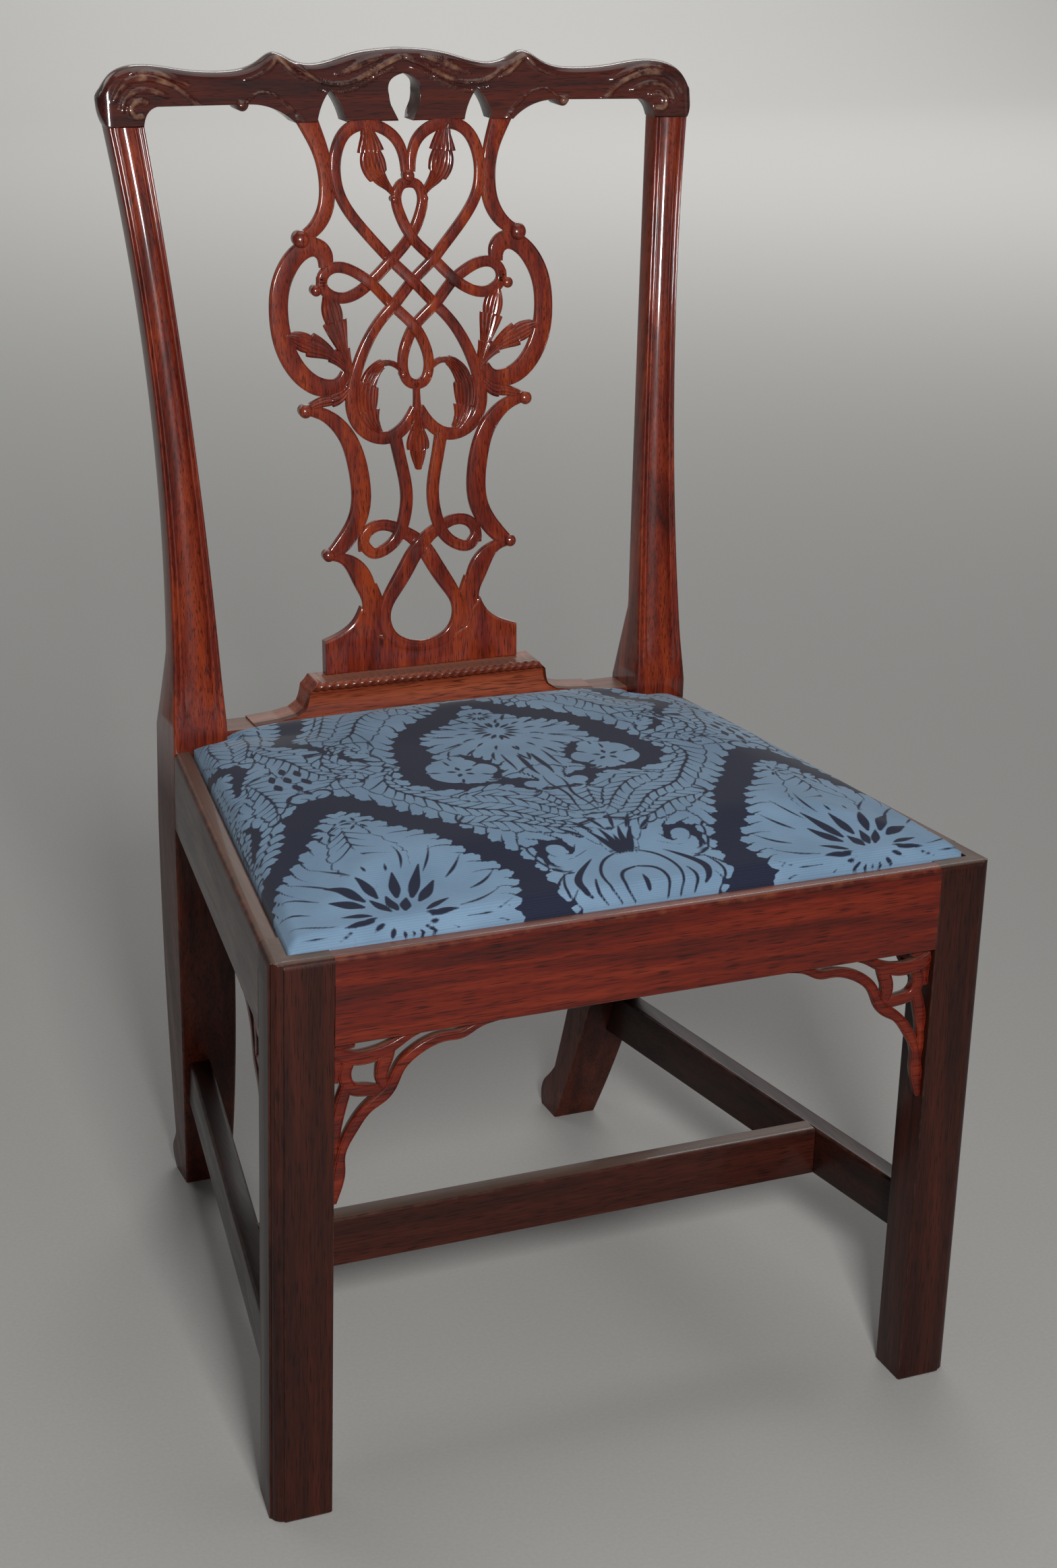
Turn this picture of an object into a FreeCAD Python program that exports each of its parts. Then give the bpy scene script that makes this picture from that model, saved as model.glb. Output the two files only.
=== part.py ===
import FreeCAD
import Part
import math
import os

# Side chair with a pierced strapwork splat and a lift-out upholstered seat.
# Millimetres, +Z up, the front of the chair faces -Y, the origin is on the floor under its middle.
# Pieces are laid out from the front face of the front legs (y = 0) and moved to the origin when saved.

V = FreeCAD.Vector
os.makedirs("parts", exist_ok=True)

# Overall sizes
seat_height = 432.0
front_width = 552.0
rear_width = 448.0
seat_depth = 407.0
joint_height = 907.0
crest_height = 55.0
top_width = 487.0

# Front legs
leg = 44.0
leg_chamfer = 10.0
ovolo = 7.0
ovolo_fillet = 1.5

# Back posts with the rear legs
post_width = 44.0
post_top_width = 28.5
post_depth = 51.0
post_top_depth = 24.0
post_waist_depth = 28.0
post_waist_rise = 62.0
post_rake = 83.0
post_bow = 5.5
post_outer_bow = 12.5
post_inner_bow = 4.2
foot_width = 391.0
foot_square = 40.0
foot_kick = 83.0
leg_bow = 8.0
leg_front_bow = 18.0
leg_outer_bow = 4.8
ankle = (95.0, 46.0)
heel = [(105.0, 34.0), (115.5, 22.0), (118.0, 13.0), (114.0, 0.0)]
post_flat = 8.0

# Seat rails
rail_height = 65.0
rail_thick = 30.0
lip = 14.0
seat_drop = 20.0
rail_round = 5.0
rear_rail_rise = 6.0
rear_rail_front = 5.0
rear_ledge = 15.0

# Joints
fit_gap = 0.1
tenon_thick = 10.0
tenon_length = 20.0
tenon_shoulder = 8.0
post_tenon_width = 14.0
post_tenon_thick = 10.0
post_tenon_height = 16.0
post_tenon_cheek = 4.0
splat_tenon_thick = 4.0
splat_tenon_height = 12.0
splat_tenon_width = 30.0
splat_tenon_place = 31.0
foot_tenon_thick = 5.0
foot_tenon_depth = 24.0
foot_tenon_inset = 24.0

# Stretchers
stretcher_top = 142.0
stretcher_height = 40.0
stretcher_thick = 18.0
stretcher_front = 261.0
stretcher_rear = 195.5
cross_place = 163.0
stretcher_tenon = 16.0
stretcher_tenon_thick = 9.0
stretcher_tenon_height = 26.0

# Crest rail
crest_thick = 24.0
crest_rake = 0.2
crest_drawn_width = 487.0
lower_edge = 14.5
ear_neck = 12.0
ear_curl = (4.0, 10.0)
volute_place = 135.0
volute_radius = 5.0
strap_outer = 92.0
strap_inner = 74.0
strap_bow = 4.5
slit_top = 24.0
slit_place = 62.0
slit_inner = 50.0
slit_bow = 2.0
drop_half = 13.0
drop_wide = 19.0
drop_top = 36.0
drop_mouth = 6.0

# Splat and shoe
shoe_height = 32.0
shoe_half = 104.0
shoe_depth = 28.0
shoe_bead_inset = 7.0
shoe_bead_swell = 3.5
shoe_step = 17.0
shoe_flare = 46.0
shoe_tip = 1.5
bead = 4.0
cove = 6.0
shoe_front_gap = 1.0
splat_thick = 8.0
splat_setback = 17.5
splat_rake = 56.0
splat_bow = 6.5
plinth_half = 84.5
plinth_height = 28.0
plinth_dip = 9.0
pattern_height = 437.0

# Brackets
bracket_thick = 10.0
bracket_setback = 4.0
bracket_length = 122.0
bracket_drop = 122.0
bracket_toe = 3.0
bracket_tail = 1.0
bracket_scribe = 2.0

# Corner blocks and screws
block_reach = 45.0
block_drop = 2.0
block_height = 35.0
screw_radius = 2.2
screw_head_radius = 4.5
screw_head_height = 3.0
screw_bite = 16.0
screw_seat = 18.0
screw_set = 11.0
screw_spread = 6.5

# Lift-out seat
seat_clearance = 1.5
cover_thick = 1.5
hem = 34.0
hem_thick = 1.0
frame_rail = 55.0
frame_thick = 18.0
frame_tenon = 18.0
frame_tenon_thick = 7.0
webbing_width = 50.0
webbing_thick = 1.0
webbing_inset = 12.0
cross_webs = 4
long_webs = 4
canvas_thick = 1.0
canvas_inset = 5.0
crown = 21.0
notch_fade = 60.0
notch_left = 0.1
tack_head_radius = 4.0
tack_head_height = 1.0
tack_shank_radius = 0.9
tack_length = 9.0
tack_inset = 27.0
tack_rows = 7

# Places worked out from the sizes above
half_front = front_width / 2
half_rear = rear_width / 2
inner_leg = half_front - leg
rail_bottom = seat_height - rail_height
ledge = seat_height - seat_drop
rear_rail_top = seat_height + rear_rail_rise
post_back = seat_depth + post_depth
post_inner = half_rear - post_width
flat_low = rail_bottom - post_flat
flat_high = rear_rail_top + post_flat
cant_start = ovolo_fillet + ovolo
rail_slope = (half_front - half_rear) / (seat_depth - cant_start)
rail_angle = math.atan(rail_slope)
slant = 1 / math.cos(rail_angle)
rear_wall = seat_depth + rear_rail_front + rear_ledge
shoe_top = rear_rail_top + shoe_height
shoe_front = rear_wall + shoe_front_gap
splat_front = shoe_front + splat_setback
splat_top_front = splat_front + splat_rake
post_top_front = seat_depth + post_rake
stretcher_bottom = stretcher_top - stretcher_height
overall_depth = splat_top_front + crest_rake * crest_height + crest_thick


def side_x(y, inset):
    """Distance from the middle to a line set in from the outer face of the front leg and side rail."""
    return half_front - rail_slope * (y - cant_start) - inset * slant


def box(x0, x1, y0, y1, z0, z1):
    """Block between two corners."""
    return Part.makeBox(x1 - x0, y1 - y0, z1 - z0, V(x0, y0, z0))


def slab(points, z0, z1):
    """Plan outline raised from z0 to z1."""
    ring = [V(x, y, z0) for x, y in points]
    return Part.Face(Part.makePolygon(ring + ring[:1])).extrude(V(0, 0, z1 - z0))


def line(a, b):
    """Straight edge."""
    return Part.LineSegment(a, b).toShape()


def bowed(a, b, rise, side):
    """Arc between two points whose middle stands off the chord by rise along side."""
    return Part.Arc(a, (a + b) * 0.5 + side * rise, b).toShape()


def curve(points):
    """Smooth edge through points."""
    smooth = Part.BSplineCurve()
    smooth.interpolate(points)
    return smooth.toShape()


def sawn(edges, depth):
    """Flat outline cut out along depth."""
    return Part.Face(Part.Wire(Part.__sortEdges__(edges))).extrude(depth)


def mirrored(shape):
    """Left-hand copy of a right-hand piece."""
    return shape.mirror(V(0, 0, 0), V(1, 0, 0))


def both(points):
    """Right-hand outline points with their left-hand reflections, as one ring."""
    return points + [(-x, y) for x, y in reversed(points)]


def joined(shapes):
    """Touching solids made one."""
    return shapes[0].multiFuse(shapes[1:]).removeSplitter()


def grown(x0, x1, y0, y1, z0, z1):
    """Mortise for a tenon of the same corners, larger by the fit gap."""
    g = fit_gap
    return box(x0 - g, x1 + g, y0 - g, y1 + g, z0 - g, z1 + g)


def edge_round(start, length, angle):
    """Waste outside a rounded top edge that runs along +Y from start, its face towards +X."""
    r = rail_round
    corner = V(0, 0, 0)
    waste = sawn([line(corner, V(-r, 0, 0)), bowed_quarter(r), line(V(0, 0, -r), corner)], V(0, length, 0))
    waste.rotate(V(0, 0, 0), V(0, 0, 1), math.degrees(angle))
    waste.translate(start)
    return waste


def bowed_quarter(r):
    """Quarter circle under a top edge, bulging outwards."""
    reach = r * (1 - math.cos(math.pi / 4))
    return Part.Arc(V(-r, 0, 0), V(-reach, 0, -reach), V(0, 0, -r)).toShape()


def save(node, shape):
    """Move a piece to the origin on the floor and write it."""
    placed = shape.copy()
    placed.translate(V(0, -overall_depth / 2, 0))
    solids = placed.Solids
    print(node, "solids", len(solids), "volume", round(placed.Volume), "valid", placed.isValid())
    whole = solids[0] if len(solids) == 1 else Part.makeCompound(solids)
    whole.exportStep("parts/" + node + ".step")


# Tenons, given once and used for both the tenon and its mortise
front_tenon = (inner_leg, inner_leg + tenon_length, rail_thick / 2 - tenon_thick / 2,
               rail_thick / 2 + tenon_thick / 2, rail_bottom + tenon_shoulder, ledge - tenon_shoulder)
side_front_mid = side_x(leg, rail_thick / 2)
side_front_tenon = (side_front_mid - tenon_thick / 2, side_front_mid + tenon_thick / 2, leg - tenon_length,
                    leg, rail_bottom + tenon_shoulder, ledge - tenon_shoulder)
side_rear_mid = side_x(seat_depth, rail_thick / 2)
side_rear_tenon = (side_rear_mid - tenon_thick / 2, side_rear_mid + tenon_thick / 2, seat_depth,
                   seat_depth + tenon_length, rail_bottom + tenon_shoulder, ledge - tenon_shoulder)
rear_tenon_back = post_back - tenon_shoulder
rear_tenon = (post_inner, post_inner + tenon_length, rear_tenon_back - tenon_thick, rear_tenon_back,
              rail_bottom + tenon_shoulder, rear_rail_top - tenon_shoulder)
stretcher_mid = (stretcher_bottom + stretcher_top) / 2
stretcher_tenon_low = stretcher_mid - stretcher_tenon_height / 2
stretcher_tenon_high = stretcher_mid + stretcher_tenon_height / 2
stretcher_front_tenon = (stretcher_front - stretcher_tenon_thick / 2,
                         stretcher_front + stretcher_tenon_thick / 2,
                         leg - stretcher_tenon, leg, stretcher_tenon_low, stretcher_tenon_high)
post_top_mid = top_width / 2 - post_top_width / 2
post_tenon_back = post_top_front + post_top_depth - post_tenon_cheek
post_tenon = (post_top_mid - post_tenon_width / 2, post_top_mid + post_tenon_width / 2,
              post_tenon_back - post_tenon_thick, post_tenon_back, joint_height,
              joint_height + post_tenon_height)

# Back post, sawn to its side outline and then to its front outline
def rear_leg_front(z):
    """Front face of the rear leg below the seat, hollowed towards the front."""
    down = (flat_low - z) / flat_low
    return seat_depth + foot_kick * down - 4 * leg_front_bow * down * (1 - down)


heel_line = [V(0, seat_depth + out, up) for out, up in [ankle] + heel]
waist_z = flat_high + post_waist_rise
waist_share = (waist_z - flat_high) / (joint_height - flat_high)
waist_back = seat_depth + post_rake * waist_share + post_waist_depth - post_bow
side_outline = [
    bowed(V(0, seat_depth + foot_kick, 0), V(0, seat_depth, flat_low), leg_front_bow, V(0, -1, 0)),
    line(V(0, seat_depth, flat_low), V(0, seat_depth, flat_high)),
    bowed(V(0, seat_depth, flat_high), V(0, post_top_front, joint_height), post_bow, V(0, -1, 0)),
    line(V(0, post_top_front, joint_height), V(0, post_top_front + post_top_depth, joint_height)),
    bowed(V(0, post_top_front + post_top_depth, joint_height), V(0, waist_back, waist_z), post_bow,
          V(0, -1, 0)),
    line(V(0, waist_back, waist_z), V(0, post_back, flat_high)),
    line(V(0, post_back, flat_high), V(0, post_back, flat_low)),
    bowed(V(0, post_back, flat_low), heel_line[0], leg_bow, V(0, -1, 0)),
    curve(heel_line),
    line(heel_line[-1], V(0, seat_depth + foot_kick, 0)),
]
foot_outer = foot_width / 2
foot_inner = foot_outer - foot_square
post_top_inner = top_width / 2 - post_top_width
front_outline = [
    bowed(V(foot_outer, 0, 0), V(half_rear, 0, flat_low), leg_outer_bow, V(1, 0, 0)),
    line(V(half_rear, 0, flat_low), V(half_rear, 0, flat_high)),
    bowed(V(half_rear, 0, flat_high), V(top_width / 2, 0, joint_height), post_outer_bow, V(-1, 0, 0)),
    line(V(top_width / 2, 0, joint_height), V(post_top_inner, 0, joint_height)),
    bowed(V(post_top_inner, 0, joint_height), V(post_inner, 0, flat_high), post_inner_bow, V(-1, 0, 0)),
    line(V(post_inner, 0, flat_high), V(post_inner, 0, flat_low)),
    line(V(post_inner, 0, flat_low), V(foot_inner, 0, 0)),
    line(V(foot_inner, 0, 0), V(foot_outer, 0, 0)),
]
post_blank = sawn(side_outline, V(front_width, 0, 0))
post_body = post_blank.common(sawn(front_outline, V(0, 2 * overall_depth, 0)))
stretcher_end = rear_leg_front(stretcher_mid) + stretcher_tenon
stretcher_lean = (stretcher_front - stretcher_rear) / (rear_leg_front(stretcher_mid) - leg)


def stretcher_x(y):
    """Middle of the side stretcher."""
    return stretcher_front - stretcher_lean * (y - leg)


def stretcher_rear_tenon(gap):
    """Rear tenon of the side stretcher, or its mortise when gap is above zero."""
    start = rear_leg_front(stretcher_mid) - stretcher_tenon
    half = stretcher_tenon_thick / 2 + gap
    end = stretcher_end + gap
    ring = [(stretcher_x(start) - half, start), (stretcher_x(start) + half, start),
            (stretcher_x(end) + half, end), (stretcher_x(end) - half, end)]
    return slab(ring, stretcher_tenon_low - gap, stretcher_tenon_high + gap)


post = joined([post_body, box(*post_tenon)])
post = post.cut(grown(*side_rear_tenon)).cut(grown(*rear_tenon)).cut(stretcher_rear_tenon(fit_gap))
save("back_post_right", post)
save("back_post_left", mirrored(post))

# Front leg with a moulded corner, an outer face in line with the side rail and a seat recess at its top
step = ovolo_fillet
swell = ovolo * (1 - math.cos(math.pi / 4))
corner_x = side_x(cant_start, step)
corner_y = step
outer_front = V(side_x(cant_start, 0), cant_start, 0)
outer_back = V(side_x(leg, 0), leg, 0)
leg_outline = [
    line(V(inner_leg, 0, 0), V(corner_x - ovolo, 0, 0)),
    line(V(corner_x - ovolo, 0, 0), V(corner_x - ovolo, corner_y, 0)),
    Part.Arc(V(corner_x - ovolo, corner_y, 0), V(corner_x - swell, corner_y + swell, 0),
             V(corner_x, cant_start, 0)).toShape(),
    line(V(corner_x, cant_start, 0), outer_front),
    line(outer_front, outer_back),
    line(outer_back, V(inner_leg + leg_chamfer, leg, 0)),
    line(V(inner_leg + leg_chamfer, leg, 0), V(inner_leg, leg - leg_chamfer, 0)),
    line(V(inner_leg, leg - leg_chamfer, 0), V(inner_leg, 0, 0)),
]
chamfer_fill = slab([(inner_leg, leg - leg_chamfer), (inner_leg, leg), (inner_leg + leg_chamfer, leg)],
                    rail_bottom, ledge)
front_leg = sawn(leg_outline, V(0, 0, seat_height))
front_leg = joined([front_leg, chamfer_fill])
seat_recess = [(inner_leg, lip), (side_x(lip, lip), lip), (side_x(leg, lip), leg), (inner_leg, leg)]
front_leg = front_leg.cut(slab(seat_recess, ledge, seat_height))
front_leg = front_leg.cut(edge_round(V(side_x(0, 0), 0, seat_height), leg * slant + rail_round, rail_angle))
front_leg = front_leg.cut(edge_round(V(half_front, 0, seat_height), front_width, math.pi / 2).mirror(
    V(0, 0, 0), V(0, 1, 0)))
for tenon in (front_tenon, side_front_tenon, stretcher_front_tenon):
    front_leg = front_leg.cut(grown(*tenon))
save("front_leg_right", front_leg)
save("front_leg_left", mirrored(front_leg))

# Front seat rail, rebated for the seat and tenoned into the legs
front_rail = box(-inner_leg, inner_leg, 0, rail_thick, rail_bottom, seat_height)
front_rail = front_rail.cut(box(-inner_leg, inner_leg, lip, rail_thick, ledge, seat_height))
front_rail = front_rail.cut(edge_round(V(half_front, 0, seat_height), front_width, math.pi / 2).mirror(
    V(0, 0, 0), V(0, 1, 0)))
front_rail = joined([front_rail, box(*front_tenon), mirrored(box(*front_tenon))])

# Side seat rail, on the slant between the front leg and the back post
def side_ring(near, far):
    """Plan of a strip of the side rail between two insets from its outer face."""
    return [(side_x(leg, near), leg), (side_x(seat_depth, near), seat_depth),
            (side_x(seat_depth, far), seat_depth), (side_x(leg, far), leg)]


side_rail = slab(side_ring(0, rail_thick), rail_bottom, seat_height)
side_rail = side_rail.cut(slab(side_ring(lip, rail_thick), ledge, seat_height))
side_length = (seat_depth - leg) * slant
round_run = edge_round(V(side_x(leg, 0), leg, seat_height), side_length, rail_angle)
side_rail = side_rail.cut(round_run)
side_rail = joined([side_rail, box(*side_front_tenon), box(*side_rear_tenon)])

# Rear seat rail, with the ledge in front of the upstand that carries the shoe
rear_face = seat_depth + rear_rail_front
rear_rail = box(-post_inner, post_inner, rear_face, post_back, rail_bottom, rear_rail_top)
rear_rail = rear_rail.cut(box(-post_inner, post_inner, rear_face, rear_wall, ledge, rear_rail_top))
rear_rail = joined([rear_rail, box(*rear_tenon), mirrored(box(*rear_tenon))])

# Side and cross stretchers
side_stretcher_ring = [(stretcher_x(leg) - stretcher_thick / 2, leg),
                       (stretcher_x(leg) + stretcher_thick / 2, leg),
                       (stretcher_x(stretcher_end) + stretcher_thick / 2, stretcher_end),
                       (stretcher_x(stretcher_end) - stretcher_thick / 2, stretcher_end)]
side_stretcher = slab(side_stretcher_ring, stretcher_bottom, stretcher_top)
clear_post = post_body.copy()
clear_post.translate(V(0, -fit_gap, 0))
side_stretcher = side_stretcher.cut(clear_post).Solids[0]
side_stretcher = joined([side_stretcher, box(*stretcher_front_tenon), stretcher_rear_tenon(0)])
cross_half = stretcher_thick / 2
inner_line = stretcher_thick / 2
cross_ring = both([(stretcher_x(cross_place - cross_half) - inner_line, cross_place - cross_half),
                   (stretcher_x(cross_place + cross_half) - inner_line, cross_place + cross_half)])
cross_tenon = (0, stretcher_x(cross_place), cross_place - stretcher_tenon_thick / 2,
               cross_place + stretcher_tenon_thick / 2, stretcher_tenon_low, stretcher_tenon_high)
cross_stretcher = slab(cross_ring, stretcher_bottom, stretcher_top)
cross_stretcher = joined([cross_stretcher, box(*cross_tenon), mirrored(box(*cross_tenon))])
side_stretcher = side_stretcher.cut(grown(*cross_tenon))
save("side_stretcher_right", side_stretcher)
save("side_stretcher_left", mirrored(side_stretcher))
save("cross_stretcher", cross_stretcher)

# Crest rail: front outline cut from a blank that is bowed in plan and raked
def on_crest(x, rise):
    """Point of the crest's front outline, rise above the post joint."""
    return V(x, 0, joint_height + rise)


crest_half_top = [(40, -4), (76, -11.5), (92, -7.5), (105, -2.5), (118, -9), (150, -16), (180, -14),
                  (212, -10), (238, -17), (249, -34)]
spread_out = top_width / crest_drawn_width
crest_top = [on_crest(top_width / 2, 0)]
crest_top += [on_crest(x * spread_out, crest_height + drop) for x, drop in reversed(crest_half_top)]
crest_top += [on_crest(0, crest_height)]
crest_top += [on_crest(-p.x, p.z - joint_height) for p in reversed(crest_top[:-1])]
right_lower = [
    line(on_crest(top_width / 2, 0), on_crest(post_top_inner, 0)),
    Part.Arc(on_crest(post_top_inner, 0), on_crest(post_top_inner - ear_curl[0], ear_curl[1]),
             on_crest(post_top_inner - ear_neck, lower_edge)).toShape(),
    line(on_crest(post_top_inner - ear_neck, lower_edge), on_crest(volute_place + volute_radius, lower_edge)),
    Part.Arc(on_crest(volute_place + volute_radius, lower_edge),
             on_crest(volute_place, lower_edge - volute_radius),
             on_crest(volute_place - volute_radius, lower_edge)).toShape(),
    bowed(on_crest(volute_place - volute_radius, lower_edge), on_crest(strap_outer, 0), strap_bow,
          V(0, 0, 1)),
    line(on_crest(strap_outer, 0), on_crest(strap_inner, 0)),
    bowed(on_crest(strap_inner, 0), on_crest(slit_place, slit_top), slit_bow, V(1, 0, 0)),
    bowed(on_crest(slit_place, slit_top), on_crest(slit_inner, 0), slit_bow, V(-1, 0, 0)),
    line(on_crest(slit_inner, 0), on_crest(drop_mouth, 0)),
    Part.Arc(on_crest(drop_mouth, 0), on_crest(drop_half, drop_wide), on_crest(0, drop_top)).toShape(),
]
left_lower = [mirrored(edge) for edge in right_lower]
crest_cut = sawn([curve(crest_top)] + right_lower + left_lower, V(0, 2 * overall_depth, 0))
blank_low = joint_height - crest_height
blank_high = joint_height + 2 * crest_height
crest_bow = splat_top_front - post_top_front
crest_radius = ((top_width / 2) ** 2 + crest_bow ** 2) / (2 * crest_bow)
bow_rise = crest_radius - math.sqrt(crest_radius ** 2 - (front_width / 2) ** 2)
front_low = splat_top_front - bow_rise - crest_rake * (joint_height - blank_low)
ear_left = V(-front_width / 2, front_low, blank_low)
ear_right = V(front_width / 2, front_low, blank_low)
back = V(0, crest_thick, 0)
blank_ring = [bowed(ear_left, ear_right, bow_rise, V(0, 1, 0)), line(ear_right, ear_right + back),
              bowed(ear_right + back, ear_left + back, bow_rise, V(0, 1, 0)), line(ear_left + back, ear_left)]
crest_blank = sawn(blank_ring, V(0, crest_rake * (blank_high - blank_low), blank_high - blank_low))
crest = crest_blank.common(crest_cut)
splat_back = splat_top_front + splat_thick
splat_tenon = (splat_tenon_place - splat_tenon_width / 2, splat_tenon_place + splat_tenon_width / 2,
               splat_back - splat_tenon_thick, splat_back, joint_height, joint_height + splat_tenon_height)
for tenon in (post_tenon, splat_tenon):
    crest = crest.cut(grown(*tenon)).cut(mirrored(grown(*tenon)))
save("crest_rail", crest)

# Splat: straps given by points of (distance from the middle, height above the shoe, width)
outer_strap = [(87, 450, 20), (79, 432, 16), (73, 417, 13.5), (69.5, 402, 12.5), (68.5, 388, 12.5),
               (70, 374, 13), (75, 363, 12.5), (83, 354.5, 11), (91, 350, 9)]
heart_strap = [(2.5, 398, 7), (3.5, 410, 8), (9, 423, 9), (21, 432, 9.5), (37, 435, 10), (50.5, 429.5, 10),
               (59, 416, 10), (61.5, 398, 9.5), (58.5, 382, 9), (51, 368, 9), (39, 353, 9), (18, 330.5, 9),
               (0, 313, 9), (-18, 295, 9), (-32, 280, 9), (-44, 261, 9.5), (-52.5, 240, 10), (-56, 221, 10.5),
               (-52, 204, 10.5), (-40, 193, 10.5), (-24, 191, 10.5), (-10, 200, 10), (-2, 213, 8)]
upper_knot = [(-2, 390, 8.5), (6, 388.5, 8.5), (11, 379.5, 8.5), (8.5, 365, 9), (0, 348, 9), (-18, 330.5, 9),
              (-36, 313, 9), (-47, 306, 9), (-59, 302.5, 9), (-70, 305, 9), (-76.5, 312, 9), (-76.5, 319, 9)]
lower_knot = [(-77, 310, 9), (-75.5, 320, 9), (-69, 325.5, 9), (-59, 326, 9), (-47, 321, 9), (-36, 313, 9),
              (-18, 295, 9), (0, 277, 9), (8.5, 262, 9), (11, 244, 8.5), (6, 233.5, 8.5), (-2, 231.5, 8.5)]
c_scroll = [(73, 326, 11), (74, 337, 14), (81, 342.5, 15), (92, 340, 15), (104, 328, 15.5),
            (111.5, 311, 15.5),
            (113.5, 293, 15.5), (111, 271, 16), (103, 252, 16), (90, 238, 15.5), (75, 233, 14), (65, 236, 11),
            (60, 244, 8)]
lower_strap = [(93, 216, 8), (82, 213, 10), (69, 204, 12.5), (59, 190, 14.5), (53.5, 174, 16),
               (50.5, 156, 16.5),
               (50.5, 139, 16.5), (54, 126, 16), (62, 113, 15), (71, 103.5, 13), (79, 98.5, 8)]
leg_strap = [(20, 192, 11), (16, 172, 10.5), (12.5, 155, 10.5), (11.5, 139, 10.5), (14, 124, 10.5),
             (20, 109.5, 10),
             (31, 100, 9.5), (42, 98, 9.5), (50, 107, 9.5)]
teardrop_strap = [(49, 100, 9.5), (48, 112, 9.5), (41, 118.5, 9.5), (31, 120, 9.5), (18, 115, 10),
                  (0, 102, 13),
                  (-12, 84, 14), (-23, 67, 13), (-31.5, 51, 11), (-32, 38, 11), (-26, 26, 11),
                  (-14, 18.5, 11),
                  (0, 16, 10)]
foot_strap = [(80, 98, 7), (68, 95.5, 9), (57, 87, 15), (49.5, 74, 17), (45, 58, 13), (46.5, 44, 12),
              (51, 33, 12),
              (58, 23, 12)]
plinth_shoulder = [(plinth_half, plinth_height), (70, 33.5), (58.5, 42), (51, 56)]
heart_leaf = [(33, 434, 10), (31, 420, 20), (29, 405, 24), (24, 394, 16), (17, 386, 7), (12, 380, 5)]
heart_root = [(33, 194, 8), (40, 205, 18), (43, 220, 23), (41, 234, 19), (34, 245, 12), (25, 250, 7),
              (15, 246, 5), (10, 241, 4)]
tall_sprig = [(55, 241, 8), (60, 258, 14), (66, 280, 14), (70, 298, 9), (72, 305, 5)]
low_sprig = [(56, 244, 8), (70, 258, 14), (84, 266, 14), (98, 272, 8), (107, 275, 5)]
scroll_leaf = [(58, 232, 8), (68, 224, 12), (80, 222, 10), (90, 219, 6)]
foot_web = [(42, 72, 7), (40, 58, 13), (40, 44, 15), (42, 30, 17)]
pendant_leaf = [(0, 212, 8), (0, 192, 20), (0, 177, 20), (0, 165, 9)]
heart_stem = [(0, 235, 6), (0, 222, 6), (0, 208, 8)]
bud = (0, 395, 5)
balls = [(92.5, 349, 7), (95, 215.5, 5.5), (82, 309, 4.5), (79.5, 98.5, 5)]
samples_per_span = 4
splat_through = V(0, 2 * overall_depth, 0)
splat_stretch = (joint_height - shoe_top) / pattern_height


def strap(points):
    """Strap sawn through the splat: a smooth line through the points, as wide as each point says."""
    middle = Part.BSplineCurve()
    middle.interpolate([V(*p) for p in points])
    count = samples_per_span * (len(points) - 1)
    first = middle.FirstParameter
    span = middle.LastParameter - first
    near = []
    far = []
    for i in range(count + 1):
        place = middle.value(first + span * i / count)
        run = middle.tangent(first + span * i / count)[0]
        flat = math.hypot(run.x, run.y)
        across = V(-run.y / flat, 0, run.x / flat) * (place.z / 2)
        spot = V(place.x, 0, shoe_top + place.y * splat_stretch)
        near.append(spot + across)
        far.append(spot - across)
    return sawn([curve(near), line(near[-1], far[-1]), curve(far[::-1]), line(far[0], near[0])],
                splat_through)


def ball(x, up, radius):
    """Round boss of the splat."""
    return Part.makeCylinder(radius, splat_through.y, V(x, 0, shoe_top + up * splat_stretch), V(0, 1, 0))


sawn_straps = []
for points in (outer_strap, heart_strap, upper_knot, lower_knot, c_scroll, lower_strap, leg_strap,
               teardrop_strap, foot_strap, heart_leaf, heart_root, tall_sprig, low_sprig,
               scroll_leaf, foot_web):
    sawn_straps.append(strap(points))
    sawn_straps.append(strap([(-x, up, width) for x, up, width in points]))
sawn_straps += [strap(pendant_leaf), strap(heart_stem), ball(*bud)]
for x, up, radius in balls:
    sawn_straps.append(ball(x, up, radius))
    sawn_straps.append(ball(-x, up, radius))
plinth_ring = [V(-plinth_half, 0, shoe_top), V(plinth_half, 0, shoe_top),
               V(plinth_half, 0, shoe_top + plinth_height),
               V(0, 0, shoe_top + plinth_height - plinth_dip), V(-plinth_half, 0, shoe_top + plinth_height)]
sawn_straps.append(Part.Face(Part.makePolygon(plinth_ring + plinth_ring[:1])).extrude(splat_through))
shoulder_edge = [V(x, 0, shoe_top + up * splat_stretch) for x, up in plinth_shoulder]
shoulder_root = V(foot_strap[-2][0], 0, shoe_top + foot_strap[-2][1] * splat_stretch)
plinth_corner = V(plinth_half, 0, shoe_top)
shoulder = sawn([curve(shoulder_edge), line(shoulder_edge[-1], shoulder_root),
                 line(shoulder_root, plinth_corner),
                 line(plinth_corner, shoulder_edge[0])], splat_through)
sawn_straps += [shoulder, mirrored(shoulder)]
front_low_edge = V(0, splat_front, shoe_top)
front_high_edge = V(0, splat_top_front, joint_height)
through = V(0, splat_thick, 0)
splat_side = [bowed(front_low_edge, front_high_edge, splat_bow, V(0, -1, 0)),
              line(front_high_edge, front_high_edge + through),
              bowed(front_high_edge + through, front_low_edge + through, splat_bow, V(0, -1, 0)),
              line(front_low_edge + through, front_low_edge)]
splat_blank = sawn(splat_side, V(front_width, 0, 0))
splat_blank.translate(V(-front_width / 2, 0, 0))
splat = splat_blank.common(sawn_straps[0].multiFuse(sawn_straps[1:]))
foot_mid = splat_front + splat_thick / 2
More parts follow.
